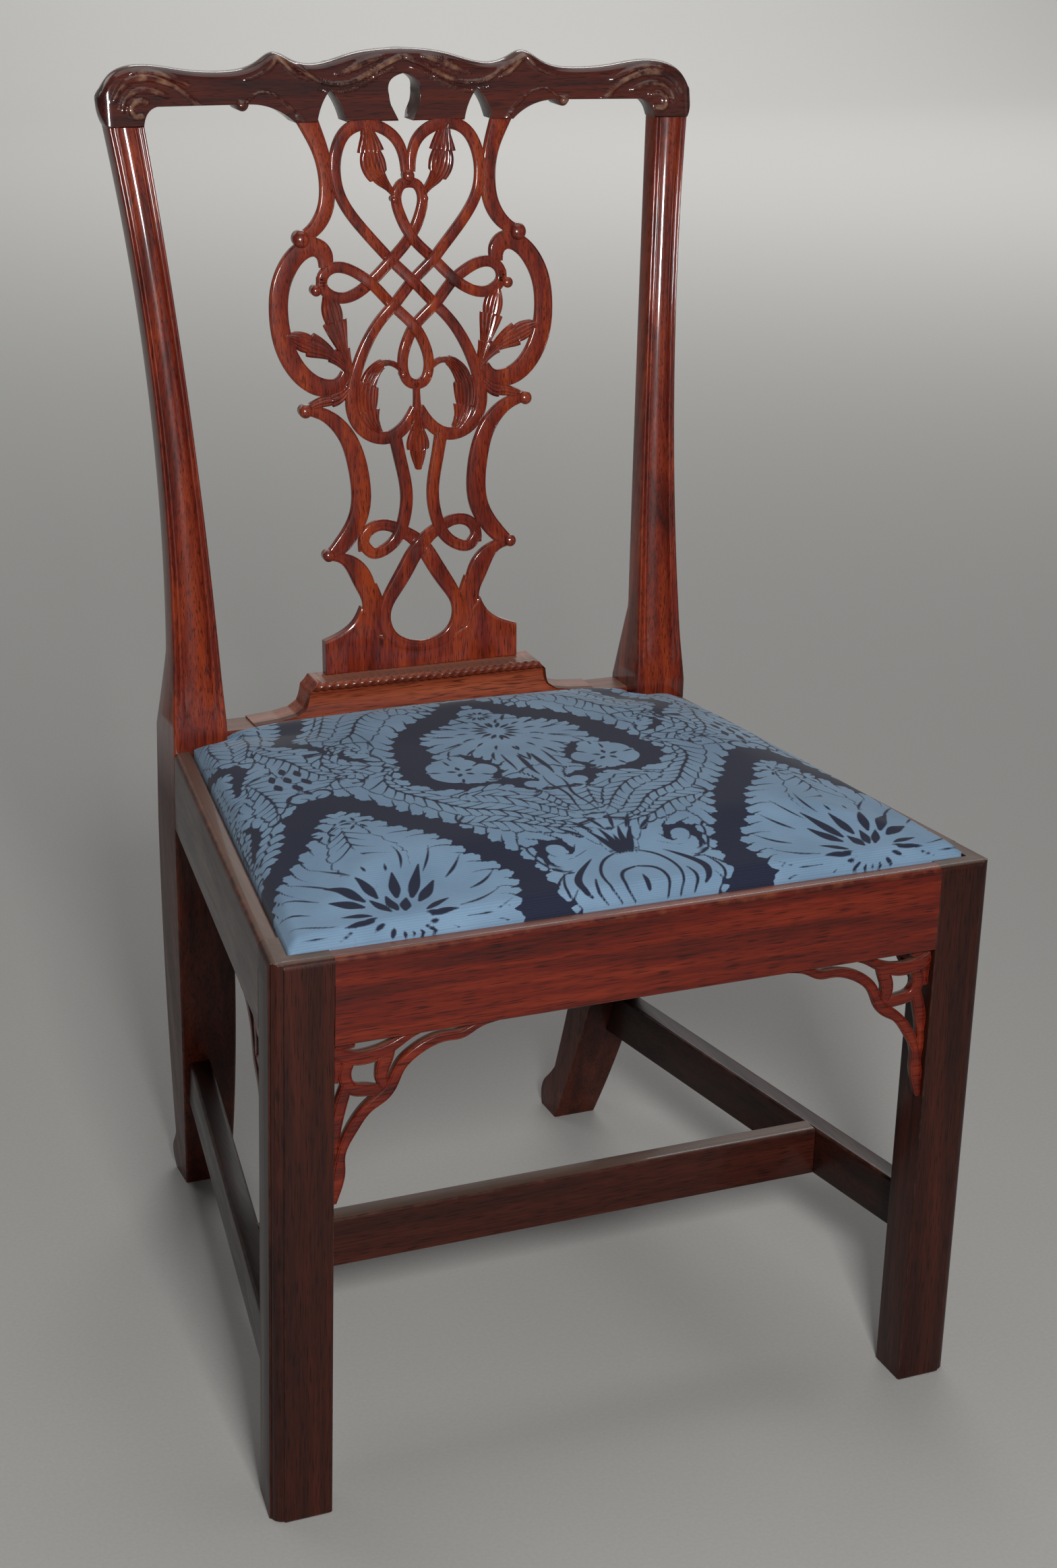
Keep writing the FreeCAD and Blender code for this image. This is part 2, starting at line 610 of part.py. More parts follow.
foot_tenon = (-plinth_half + foot_tenon_inset, plinth_half - foot_tenon_inset,
              foot_mid - foot_tenon_thick / 2,
              foot_mid + foot_tenon_thick / 2, shoe_top - foot_tenon_depth, shoe_top)
splat = joined([splat, box(*foot_tenon), box(*splat_tenon), mirrored(box(*splat_tenon))])
save("splat", splat)

# Shoe: a moulded section sawn to flared ends
bead_mid = V(0, shoe_front + bead, shoe_top - bead)
bead_low = V(0, shoe_front + bead, shoe_top - 2 * bead)
cove_top = V(0, shoe_front + cove, shoe_top - 2 * bead)
shoe_back = shoe_front + shoe_depth
shoe_section = [
    line(V(0, shoe_back, rear_rail_top), V(0, shoe_back, shoe_top)),
    line(V(0, shoe_back, shoe_top), bead_mid + V(0, 0, bead)),
    Part.Arc(bead_mid + V(0, 0, bead), bead_mid - V(0, bead, 0), bead_low).toShape(),
    line(bead_low, cove_top),
    bowed(cove_top, V(0, shoe_front, rear_rail_top), bead, V(0, 1, 0)),
    line(V(0, shoe_front, rear_rail_top), V(0, shoe_back, rear_rail_top)),
]
shoe_block = sawn(shoe_section, V(front_width, 0, 0))
shoe_block.translate(V(-front_width / 2, 0, 0))
flare_end = shoe_half + shoe_flare
bead_end = shoe_half - shoe_bead_inset
bead_under = shoe_top - 2 * bead
shoe_sweep = [(0, shoe_step), (3, 10.5), (10, 5.7), (24, 3), (shoe_flare, shoe_tip)]
shoe_right = [
    bowed(V(bead_end, 0, shoe_top), V(bead_end, 0, bead_under), shoe_bead_swell, V(1, 0, 0)),
    line(V(bead_end, 0, bead_under), V(shoe_half, 0, bead_under)),
    line(V(shoe_half, 0, bead_under), V(shoe_half, 0, rear_rail_top + shoe_step)),
    curve([V(shoe_half + out, 0, rear_rail_top + up) for out, up in shoe_sweep]),
    line(V(flare_end, 0, rear_rail_top + shoe_tip), V(flare_end, 0, rear_rail_top)),
]
shoe_outline = [line(V(-bead_end, 0, shoe_top), V(bead_end, 0, shoe_top))] + shoe_right
shoe_outline += [mirrored(edge) for edge in shoe_right]
shoe_outline += [line(V(-flare_end, 0, rear_rail_top), V(flare_end, 0, rear_rail_top))]
shoe = shoe_block.common(sawn(shoe_outline, V(0, 2 * overall_depth, 0)))
save("shoe", shoe.cut(grown(*foot_tenon)))

# Pierced bracket, drawn from its corner: along the rail, then down the leg
bracket_edge = [(bracket_length, -bracket_tail), (103, -5), (96, -10), (92, -14)]
bracket_scoop = [(92, -14), (86, -11), (77, -11), (62, -18), (50, -29), (44, -42)]
bracket_lower = [(44, -42), (39, -49), (30, -54.5), (17, -70), (9, -88)]
bracket_tip = [(9, -88), (10.5, -97), (7, -107), (bracket_toe, -bracket_drop)]
bracket_holes = [((14, -8), (52, -3), 3.0, 3.5), ((66, -8), (39, -36), 1.0, 6.5),
                 ((14, -25), (32, -25), 7.0, 9.0),
                 ((35, -45), (8, -76), 1.0, 7.0), ((4, -30), (4, -66), 2.5, 2.0)]


def bracket_solid(thick):
    """Bracket with its back face on the plane y = 0 and its corner at the origin."""
    def at(u, v):
        return V(u, 0, v)

    def run(points):
        return curve([at(u, v) for u, v in points])

    edges = [line(at(0, 0), at(bracket_length, 0)),
             line(at(bracket_length, 0), at(bracket_length, -bracket_tail)),
             run(bracket_edge), run(bracket_scoop), run(bracket_lower), run(bracket_tip),
             line(at(bracket_toe, -bracket_drop), at(0, -bracket_drop)), line(at(0, -bracket_drop), at(0, 0))]
    plate = sawn(edges, V(0, thick, 0))
    for (u0, v0), (u1, v1), upper, lower in bracket_holes:
        a = at(u0, v0)
        b = at(u1, v1)
        chord = (b - a).normalize()
        side = V(-chord.z, 0, chord.x)
        plate = plate.cut(sawn([bowed(a, b, upper, side), bowed(b, a, -lower, side)], V(0, thick, 0)))
    return plate


front_bracket = bracket_solid(bracket_thick).mirror(V(0, 0, 0), V(1, 0, 0))
front_bracket.translate(V(inner_leg, bracket_setback, rail_bottom))
save("front_bracket_right", front_bracket)
save("front_bracket_left", mirrored(front_bracket))
side_bracket = bracket_solid(bracket_thick)
side_bracket.rotate(V(0, 0, 0), V(0, 0, 1), 90 + math.degrees(rail_angle))
side_bracket.translate(V(side_x(leg, bracket_setback), leg, rail_bottom))
side_bracket.translate(V(math.sin(rail_angle), -math.cos(rail_angle), 0) * bracket_scribe)
side_bracket = side_bracket.cut(box(inner_leg, half_front, 0, leg, 0, seat_height))
save("side_bracket_right", side_bracket)
save("side_bracket_left", mirrored(side_bracket))

# Corner blocks with their screws
block_high = ledge - block_drop
block_low = block_high - block_height
front_block_ring = [(inner_leg - block_reach, rail_thick), (inner_leg, rail_thick), (inner_leg, leg),
                    (side_x(leg, rail_thick), leg),
                    (side_x(leg + block_reach, rail_thick), leg + block_reach)]
rear_block_ring = [(side_x(seat_depth - block_reach, rail_thick), seat_depth - block_reach),
                   (side_x(seat_depth, rail_thick), seat_depth), (post_inner, seat_depth),
                   (post_inner, rear_face),
                   (post_inner - block_reach, rear_face)]
front_block = slab(front_block_ring, block_low, block_high)
rear_block = slab(rear_block_ring, block_low, block_high)


def screw(seat, way, slack):
    """Screw whose head seats at a point and whose shank runs along way; slack widens it into its hole."""
    shank = Part.makeCylinder(screw_radius + slack, screw_seat + screw_bite + slack, seat, way)
    head_length = screw_head_height + (leg if slack else 0)
    head = Part.makeCylinder(screw_head_radius + slack, head_length, seat, -way)
    return joined([shank, head])


screw_z = (block_low + block_high) / 2
ahead = V(0, -1, 0)
astern = V(0, 1, 0)
outward = V(math.cos(rail_angle), math.sin(rail_angle), 0)
front_corner = V(side_x(leg + block_reach / 2, rail_thick), leg + block_reach / 2, screw_z)
rear_corner = V(side_x(seat_depth - block_reach / 2, rail_thick), seat_depth - block_reach / 2, screw_z)
spread = V(0, 0, screw_spread)
seats = [
    (V(inner_leg - block_reach / 3, rail_thick + screw_set, screw_z) - spread, ahead),
    (front_corner - outward * screw_set + spread, outward),
    (V(post_inner - block_reach / 3, rear_face - screw_set, screw_z) - spread, astern),
    (rear_corner - outward * screw_set + spread, outward),
]
screws = []
for seat, way in seats:
    hole = screw(seat, way, fit_gap)
    front_block = front_block.cut(hole)
    rear_block = rear_block.cut(hole)
    front_rail = front_rail.cut(hole).cut(mirrored(hole))
    side_rail = side_rail.cut(hole)
    rear_rail = rear_rail.cut(hole).cut(mirrored(hole))
    screws += [screw(seat, way, 0), mirrored(screw(seat, way, 0))]
save("front_corner_block_right", front_block)
save("front_corner_block_left", mirrored(front_block))
save("rear_corner_block_right", rear_block)
save("rear_corner_block_left", mirrored(rear_block))
save("corner_block_screws", Part.makeCompound(screws))
save("front_seat_rail", front_rail)
save("side_seat_rail_right", side_rail)
save("side_seat_rail_left", mirrored(side_rail))
save("rear_seat_rail", rear_rail)

# Lift-out seat, set in from the rebate walls
def seat_ring(inset):
    """Plan of the seat at a distance inside the rebate; its notches round the posts fade to the crown."""
    front_y = lip + inset
    rear_y = rear_wall - inset
    notch_y = rear_y - (rear_wall - seat_depth) * max(notch_left, 1 - inset / notch_fade)
    return both([(side_x(front_y, lip + inset), front_y), (side_x(notch_y, lip + inset), notch_y),
                 (post_inner - inset, notch_y), (post_inner - inset, rear_y)])


def seat_wire(inset, z):
    """Seat outline as a closed wire at a height."""
    ring = [V(x, y, z) for x, y in seat_ring(inset)]
    return Part.makePolygon(ring + ring[:1])


frame_low = ledge + hem_thick
frame_high = frame_low + frame_thick
canvas_low = frame_high + 2 * webbing_thick
pad_low = canvas_low + canvas_thick
cover_inset = seat_clearance
frame_inset = seat_clearance + cover_thick
frame_block = slab(seat_ring(frame_inset), frame_low, frame_high)
inner_front = lip + frame_inset + frame_rail
inner_rear = rear_wall - frame_inset - frame_rail
frame_front = frame_block.common(box(-front_width, front_width, 0, inner_front, 0, seat_height))
frame_rear = frame_block.common(box(-front_width, front_width, inner_rear, post_back, 0, seat_height))
frame_side = frame_block.common(box(0, front_width, inner_front, inner_rear, 0, seat_height))
inner_edge = lip + frame_inset + frame_rail
inner_strip = [(0, 0), (side_x(0, inner_edge), 0), (side_x(seat_depth, inner_edge), seat_depth),
               (0, seat_depth)]
frame_side = frame_side.cut(slab(inner_strip, 0, seat_height))
tenon_low = (frame_low + frame_high) / 2 - frame_tenon_thick / 2
tenon_high = tenon_low + frame_tenon_thick
side_mid_front = side_x(inner_front, lip + frame_inset + frame_rail / 2)
side_mid_rear = side_x(inner_rear, lip + frame_inset + frame_rail / 2)
frame_tenon_front = (side_mid_front - frame_rail / 4, side_mid_front + frame_rail / 4,
                     inner_front - frame_tenon,
                     inner_front, tenon_low, tenon_high)
frame_tenon_rear = (side_mid_rear - frame_rail / 4, side_mid_rear + frame_rail / 4, inner_rear,
                    inner_rear + frame_tenon, tenon_low, tenon_high)
frame_side = joined([frame_side, box(*frame_tenon_front), box(*frame_tenon_rear)])
frame_front = frame_front.cut(grown(*frame_tenon_front)).cut(mirrored(grown(*frame_tenon_front)))
frame_rear = frame_rear.cut(grown(*frame_tenon_rear)).cut(mirrored(grown(*frame_tenon_rear)))

# Pad and cover: outlines stacked from the frame up to the crown
crown_steps = [(0.0, 0.0), (3.0, 0.29), (13.0, 0.62), (42.0, 0.86), (98.0, 1.0)]
pad_rings = [seat_wire(frame_inset + inset, pad_low + crown * share) for inset, share in crown_steps]
pad = Part.makeLoft(pad_rings, True, True)
cover_rings = [seat_wire(cover_inset, ledge)]
cover_rings += [seat_wire(cover_inset + inset, pad_low + crown * share + cover_thick * min(1, 2 * share))
                for inset, share in crown_steps]
cover = Part.makeLoft(cover_rings, True, True)
cover = cover.cut(pad).cut(slab(seat_ring(frame_inset), frame_low, pad_low))
cover = cover.cut(slab(seat_ring(cover_inset + hem), ledge, frame_low))

# Tacks through the hem into the frame
def tack(x, y, slack):
    """Tack driven upwards, its head under the hem; slack widens it into its hole."""
    shank = Part.makeCylinder(tack_shank_radius + slack, tack_length + slack, V(x, y, ledge), V(0, 0, 1))
    if slack:
        return shank
    head = Part.makeCylinder(tack_head_radius, tack_head_height, V(x, y, ledge), V(0, 0, -1))
    return joined([shank, head])


tack_inset_total = cover_inset + tack_inset
tack_spots = []
for i in range(tack_rows):
    share = (i + 0.5) / tack_rows
    front_reach = inner_leg - tack_inset_total
    tack_spots.append((front_reach * (2 * share - 1), lip + tack_inset_total))
    tack_spots.append(((post_inner - tack_inset_total) * (2 * share - 1), rear_wall - tack_inset_total))
    side_y = inner_front + (inner_rear - inner_front) * share
    tack_spots.append((side_x(side_y, lip + tack_inset_total), side_y))
    tack_spots.append((-side_x(side_y, lip + tack_inset_total), side_y))
tack_holes = Part.makeCompound([tack(x, y, fit_gap) for x, y in tack_spots])
cover = cover.cut(tack_holes)
frame_left = mirrored(frame_side).cut(tack_holes)
save("seat_frame_front", frame_front.cut(tack_holes))
save("seat_frame_rear", frame_rear.cut(tack_holes))
save("seat_frame_right", frame_side.cut(tack_holes))
save("seat_frame_left", frame_left)
save("seat_cover", cover)
save("cover_tacks", Part.makeCompound([tack(x, y, 0) for x, y in tack_spots]))
save("seat_stuffing", pad)

# Webbing and canvas
web_reach = frame_inset + webbing_inset
cross_straps = []
for i in range(cross_webs):
    y = inner_front + (inner_rear - inner_front) * (i + 0.5) / cross_webs
    reach = side_x(y + webbing_width / 2, lip + web_reach)
    cross_straps.append(box(-reach, reach, y - webbing_width / 2, y + webbing_width / 2, frame_high,
                            frame_high + webbing_thick))
long_straps = []
web_field = side_x(inner_rear, lip + frame_inset + frame_rail)
for i in range(long_webs):
    x = web_field * (2 * (i + 0.5) / long_webs - 1)
    long_straps.append(box(x - webbing_width / 2, x + webbing_width / 2, lip + web_reach,
                           rear_wall - web_reach,
                           frame_high + webbing_thick, canvas_low))
save("webbing_crosswise", Part.makeCompound(cross_straps))
save("webbing_lengthwise", Part.makeCompound(long_straps))
save("seat_canvas", slab(seat_ring(frame_inset + canvas_inset), canvas_low, pad_low))
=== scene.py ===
# %% [markdown]
# # A side chair with an interlaced strapwork back
# The construction is already made and packed. This lesson dresses it: carved mahogany, a damask seat
# and what shows underneath, each worked out as a surface in numpy and put into a mesh.

import bpy
import numpy as np
from mathutils import Matrix, Vector


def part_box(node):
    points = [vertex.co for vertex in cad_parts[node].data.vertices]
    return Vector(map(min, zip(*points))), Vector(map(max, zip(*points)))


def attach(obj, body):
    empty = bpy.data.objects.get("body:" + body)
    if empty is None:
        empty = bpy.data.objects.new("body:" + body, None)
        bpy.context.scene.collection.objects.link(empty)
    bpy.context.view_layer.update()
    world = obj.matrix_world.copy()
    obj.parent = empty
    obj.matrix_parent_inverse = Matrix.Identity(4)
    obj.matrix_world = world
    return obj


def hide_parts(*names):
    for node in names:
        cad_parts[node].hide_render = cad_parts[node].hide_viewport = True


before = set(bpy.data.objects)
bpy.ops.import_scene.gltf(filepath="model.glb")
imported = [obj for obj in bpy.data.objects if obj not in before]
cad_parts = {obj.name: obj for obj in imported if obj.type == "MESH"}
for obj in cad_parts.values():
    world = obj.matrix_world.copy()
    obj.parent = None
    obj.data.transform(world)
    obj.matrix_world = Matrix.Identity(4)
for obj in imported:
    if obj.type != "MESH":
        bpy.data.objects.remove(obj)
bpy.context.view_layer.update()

# %% [markdown]
# A chair maker thinks in millimetres from the front face of the front legs, so the shapes below do too, and
# finished points are moved to the frame last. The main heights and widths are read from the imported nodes.

# %% Sizes from the frame, in millimetres
MM = 0.001


def node_box(node):
    """Lowest and highest corner of a node in millimetres, y measured from the front of the legs."""
    low, high = (np.array(corner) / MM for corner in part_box(node))
    shift = np.array([0.0, front_face, 0.0])
    return low - shift, high - shift


front_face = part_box("front_leg_left")[0].y / MM
seat_height = node_box("front_leg_left")[1][2]
half_front = node_box("front_leg_right")[1][0]
inner_leg = node_box("front_leg_right")[0][0]
leg = half_front - inner_leg
rail_bottom = node_box("front_seat_rail")[0][2]
ledge = node_box("seat_cover")[0][2]
shoe_low, shoe_high = node_box("shoe")
rear_rail_top = shoe_low[2]
shoe_top = shoe_high[2]
joint_height = node_box("crest_rail")[0][2]
top_width = 487.0
rear_width = 448.0
seat_depth = 407.0
lip = 14.0
rail_thick = 30.0
print("seat", round(seat_height), "front", round(2 * half_front), "ledge", round(ledge),
      "joint", round(joint_height))

# %% [markdown]
# Every rigid piece is a stack of rings with a skin over it: a section carried along a path. Bevelled boxes
# would be quicker, but they can't bow or taper. The skin's faces are turned outwards by the sign of the
# volume that they enclose, so a mirrored copy needs no care of its own.

# %% Skins and pieces


def skin(rings, wear=0.0):
    """Closed skin over rings (m, n, 3): quads join ring to ring, and a flat face closes each end."""
    m, n = rings.shape[:2]
    row = np.arange(m - 1)[:, None] * n
    here = np.arange(n)[None, :]
    ahead = (here + 1) % n
    quads = np.stack([row + here, row + ahead, row + n + ahead, row + n + here], -1).reshape(-1, 4)
    ends = [np.arange(n)[::-1], np.arange(n) + (m - 1) * n]
    points = rings.reshape(-1, 3)
    fans = [np.stack([np.full(n - 2, e[0]), e[1:-1], e[2:]], -1) for e in ends]
    triangles = np.concatenate([quads[:, :3], quads[:, [0, 2, 3]], *fans])
    a, b, c = (points[triangles[:, k]] for k in range(3))
    if np.einsum("ij,ij->", a, np.cross(b, c)) < 0:
        quads = quads[:, ::-1]
        ends = [e[::-1] for e in ends]
    faces = quads.tolist() + [e.tolist() for e in ends]
    return points, faces, np.broadcast_to(wear, (m, n)).ravel()


def mirrored(shell_rings):
    """The same rings on the left-hand side."""
    return shell_rings * np.array([-1.0, 1.0, 1.0])


def make_mesh(name, shells):
    """One mesh from several closed skins, in metres, with the wear of each point."""
    starts = np.cumsum([0] + [len(s[0]) for s in shells])
    points = np.concatenate([s[0] for s in shells]) + (0, front_face, 0)
    faces = [[i + start for i in face] for s, start in zip(shells, starts) for face in s[1]]
    mesh = bpy.data.meshes.new(name)
    mesh.from_pydata((points * MM).tolist(), [], faces)
    worn = mesh.attributes.new("wear", "FLOAT", "POINT")
    worn.data.foreach_set("value", np.concatenate([s[2] for s in shells]).astype(np.float32))
    mesh.shade_smooth()
    mesh.set_sharp_from_angle(angle=np.radians(38))
    mesh.validate()
    return mesh


def add_piece(name, shells, finish, body="frame"):
    """A finished piece that rides on a body and stands for the node of its name."""
    piece = bpy.data.objects.new(name, make_mesh(name, shells))
    bpy.context.scene.collection.objects.link(piece)
    piece.data.materials.append(finish)
    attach(piece, body)
    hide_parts(name)
    print(name, "vertices", len(piece.data.vertices), "faces", len(piece.data.polygons))
    return piece


# %% [markdown]
# Hand tools leave small soft arrises, which catch the light and wear pale first. So a section is a polygon
# whose corners are eased, and the middle of each eased corner carries the wear.

# %% Eased sections, bowed lines and splines
EASE_STEPS = 5


def eased(corners, setbacks, steps=EASE_STEPS):
    """Polygon with each corner replaced by a small curve that starts setback away from it on both sides."""
    corner = np.asarray(corners, float)
    setback = np.broadcast_to(setbacks, len(corner))[:, None]
    before = np.roll(corner, 1, 0) - corner
    after = np.roll(corner, -1, 0) - corner
    start = corner + before / np.linalg.norm(before, axis=1, keepdims=True) * setback
    end = corner + after / np.linalg.norm(after, axis=1, keepdims=True) * setback
    u = np.linspace(0, 1, steps)[None, :, None]
    ring = (1 - u) ** 2 * start[:, None] + 2 * u * (1 - u) * corner[:, None] + u ** 2 * end[:, None]
    wear = np.broadcast_to(4 * u * (1 - u), (len(corner), steps, 1))
    return ring.reshape(-1, 2), wear.reshape(-1)


def bowed(t, start, end, bow):
    """Line from start to end whose middle stands off by bow."""
    return start + (end - start) * t + 4 * bow * t * (1 - t)


def spline(points, spacing=2.0):
    """Smooth curve through points (a natural cubic in each coordinate), sampled about every spacing."""
    p = np.asarray(points, float)
    run = np.concatenate([[0], np.cumsum(np.linalg.norm(np.diff(p[:, :2], axis=0), axis=1))])
    h = np.diff(run)
    n = len(p)
    bend = np.eye(n)
    load = np.zeros_like(p)
    inner = np.arange(1, n - 1)
    bend[inner, inner - 1] = h[:-1]
    bend[inner, inner] = 2 * (h[:-1] + h[1:])
    bend[inner, inner + 1] = h[1:]
    load[1:-1] = 6 * (np.diff(p[1:], axis=0) / h[1:, None] - np.diff(p[:-1], axis=0) / h[:-1, None])
    second = np.linalg.solve(bend, load)
    at = np.linspace(0, run[-1], max(4, int(run[-1] / spacing)))
    k = np.clip(np.searchsorted(run, at, side="right") - 1, 0, n - 2)
    left, right, width = (run[k + 1] - at)[:, None], (at - run[k])[:, None], h[k][:, None]
    curve = (second[k] * left ** 3 + second[k + 1] * right ** 3) / (6 * width)
    here = p[k] / width - second[k] * width / 6
    ahead = p[k + 1] / width - second[k + 1] * width / 6
    return curve + (here * left + ahead * right)


def along_x(section, stations):
    """Rings of a (y, z) section at places along x."""
    x = np.broadcast_to(np.asarray(stations, float)[:, None, None], (len(stations), len(section), 1))
    return np.concatenate([x, np.broadcast_to(section, (len(stations), *section.shape))], -1)


# %% [markdown]
# ## Finishes
# The frame is mahogany under old shellac: a red-brown wood with long fine pores, deep colour variation along
# the board, a warm gloss from the polish, pale rubbed arrises and dust on what faces up. One material could
# serve all of it, but the grain runs along each board, and the back is redder and glossier than the legs. So
# one function makes it for each direction and stain. Some copies also carry painted shade: the crest, side
# rails and side stretchers are darker copies for faces turned from the light, and the legs, stretchers and
# posts below the seat are darker and duller, part from their finish and part from painted shade.

# %% Colour and node helpers


def srgb(code):
    """Hex colour as linear red, green, blue and alpha."""
    value = np.array([int(code[i:i + 2], 16) for i in (1, 3, 5)]) / 255
    linear = np.where(value <= 0.04045, value / 12.92, ((value + 0.055) / 1.055) ** 2.4)
    return (*linear.tolist(), 1.0)


def add(tree, kind, links=(), **settings):
    """A node of a kind; settings name its options or inputs, and links join (output, input name)."""
    node = tree.nodes.new(kind)
    for key, value in settings.items():
        label = key.replace("_", " ")
        if hasattr(node, key):
            setattr(node, key, value)
        else:
            node.inputs[label].default_value = value
    for output, name in links:
        tree.links.new(output, node.inputs[name])
    return node


def new_finish(name):
    """An empty material with its shader, and the tree to fill."""
    material = bpy.data.materials.new(name)
    material.use_nodes = True
    tree = material.node_tree
    return material, tree, tree.nodes["Principled BSDF"]


def ramp(tree, factor, *stops):
    """Colour ramp through (place, hex colour) stops."""
    node = add(tree, "ShaderNodeValToRGB", [(factor, "Fac")])
    while len(node.color_ramp.elements) < len(stops):
        node.color_ramp.elements.new(0.5)
    for element, (place, code) in zip(node.color_ramp.elements, stops):
        element.position = place
        element.color = srgb(code)
    return node.outputs["Color"]


# %% [markdown]
# The grain is noise drawn out along the board: bands of colour about 14 mm wide, fibres of about 2 mm and
# pores of about 1 mm. Real fibres and pores are finer, and are drawn this coarse so that they show.

# %% Mahogany
BAND_MM = 14.0
FIBRE_MM = 2.2
PORE_MM = 0.9
WEAR_PATCH_MM = 9.0
DRAWN_OUT = {"X": (0.05, 1, 1), "Y": (1, 0.05, 1), "Z": (1, 1, 0.05)}
GRAIN_STOPS = (0.48, 0.70, 0.93)
FIBRE_SHARE = 0.45
GREY_DUST = "#8a7a6c"


def per_metre(size_mm):
    """Noise scale for features of a size in millimetres."""
    return 1 / (size_mm * MM)


def mahogany(name, along, deep, mid, bright, worn="#80462c", dust=0.25, gloss=0.6, rub=0.5, below=None):
    """Polished mahogany with its grain along one axis; below is a height and the darker colours under it:
    part stain, part painted shade.
    """
    material, tree, shader = new_finish(name)
    place = add(tree, "ShaderNodeTexCoord").outputs["Object"]
    drawn = add(tree, "ShaderNodeMapping", [(place, "Vector")], Scale=DRAWN_OUT[along]).outputs["Vector"]
    band = add(tree, "ShaderNodeTexNoise", [(drawn, "Vector")], Scale=per_metre(BAND_MM), Detail=3.0,
               Distortion=0.6)
    fibre = add(tree, "ShaderNodeTexNoise", [(drawn, "Vector")], Scale=per_metre(FIBRE_MM), Detail=4.0)
    pore = add(tree, "ShaderNodeTexNoise", [(drawn, "Vector")], Scale=per_metre(PORE_MM), Detail=1.0)
    grain = add(tree, "ShaderNodeMath", operation="ADD")
    fine = add(tree, "ShaderNodeMath", [(fibre.outputs["Fac"], 0)], operation="MULTIPLY")
    fine.inputs[1].default_value = FIBRE_SHARE
    tree.links.new(band.outputs["Fac"], grain.inputs[0])
    tree.links.new(fine.outputs[0], grain.inputs[1])
    wood = ramp(tree, grain.outputs[0], *zip(GRAIN_STOPS, (deep, mid, bright)))
    # Below that height the colour turns darker: part a darker stain, part painted shade under the seat.
    if below:
        height = add(tree, "ShaderNodeSeparateXYZ", [(place, 0)]).outputs["Z"]
        above_seat = add(tree, "ShaderNodeMapRange", [(height, "Value")], From_Min=below[0] - 0.04,
                    From_Max=below[0] + 0.02)
        stain_and_shade = add(tree, "ShaderNodeMix", [(above_seat.outputs[0], 0)], data_type="RGBA")
        tree.links.new(ramp(tree, grain.outputs[0], *zip(GRAIN_STOPS, below[1:])), stain_and_shade.inputs[6])
        tree.links.new(wood, stain_and_shade.inputs[7])
        wood = stain_and_shade.outputs[2]
        polish = add(tree, "ShaderNodeMapRange", [(above_seat.outputs[0], "Value")], To_Min=0.1, To_Max=gloss)
        tree.links.new(polish.outputs[0], shader.inputs["Coat Weight"])
    flecks = ramp(tree, pore.outputs["Fac"], (0.30, "#5c5c5c"), (0.47, "#ffffff"))
    pored = add(tree, "ShaderNodeMix", data_type="RGBA", blend_type="MULTIPLY")
    pored.inputs[0].default_value = 0.8
    tree.links.new(wood, pored.inputs[6])
    tree.links.new(flecks, pored.inputs[7])
    patch = add(tree, "ShaderNodeTexNoise", [(place, "Vector")], Scale=per_metre(WEAR_PATCH_MM), Detail=3.0)
    rubbed = add(tree, "ShaderNodeMath", operation="MULTIPLY")
    tree.links.new(add(tree, "ShaderNodeAttribute", attribute_name="wear").outputs["Fac"], rubbed.inputs[0])
    patchy = add(tree, "ShaderNodeMapRange", [(patch.outputs["Fac"], "Value")], From_Min=0.42,
                 From_Max=0.75, To_Max=rub)
    tree.links.new(patchy.outputs[0], rubbed.inputs[1])
    edged = add(tree, "ShaderNodeMix", [(rubbed.outputs[0], 0)], data_type="RGBA")
    tree.links.new(pored.outputs[2], edged.inputs[6])
    edged.inputs[7].default_value = srgb(worn)
    facing = add(tree, "ShaderNodeSeparateXYZ", [(add(tree, "ShaderNodeNewGeometry").outputs["Normal"], 0)])
    upward = add(tree, "ShaderNodeMapRange", [(facing.outputs["Z"], "Value")], From_Min=0.75, From_Max=1.0,
                 To_Max=dust)
    settled = add(tree, "ShaderNodeMix", [(upward.outputs[0], 0)], data_type="RGBA")
    tree.links.new(edged.outputs[2], settled.inputs[6])
    settled.inputs[7].default_value = srgb(GREY_DUST)
    tree.links.new(settled.outputs[2], shader.inputs["Base Color"])
    rough = add(tree, "ShaderNodeMapRange", [(grain.outputs[0], "Value")], From_Min=0.4, From_Max=1.0,
                To_Min=0.5, To_Max=0.36)
    tree.links.new(rough.outputs[0], shader.inputs["Roughness"])
    bump = add(tree, "ShaderNodeBump", [(pore.outputs["Fac"], "Height")], Strength=0.10, Distance=0.0006)
    tree.links.new(bump.outputs["Normal"], shader.inputs["Normal"])
    shader.inputs["Specular IOR Level"].default_value = 0.2
    shader.inputs["Coat Weight"].default_value = gloss
    shader.inputs["Coat Roughness"].default_value = 0.09
    return material


back_wood = mahogany("polished_mahogany_upright", "Z", "#420f06", "#6a1e0c", "#883414", gloss=1.0)
# Below the seat the posts take darker colours: part stain, part painted shade.
post_wood = mahogany("polished_mahogany_post", "Z", "#3c0e06", "#641c0b", "#823013", gloss=1.0,
                     below=(0.43, "#2c0f09", "#43190d", "#552315"))
# The crest is a darker copy of the back's wood: painted shade for its face, turned from the light. Its pale
# lines on the carving are wear.
shaded_crest_wood = mahogany("polished_mahogany_crest_painted_shade", "X", "#270b06", "#3a110a", "#4e1c10", worn="#8c6850",
                      gloss=0.9, rub=0.9)
rail_wood = mahogany("polished_mahogany_rail", "X", "#360c06", "#581609", "#702410", gloss=0.3)
rear_wood = mahogany("dusty_mahogany_rail", "X", "#360c06", "#581609", "#702410", dust=0.35, gloss=0.1)
shoe_wood = mahogany("polished_mahogany_shoe", "X", "#4e1b0e", "#78331e", "#92482c", dust=0.3, gloss=0.4)
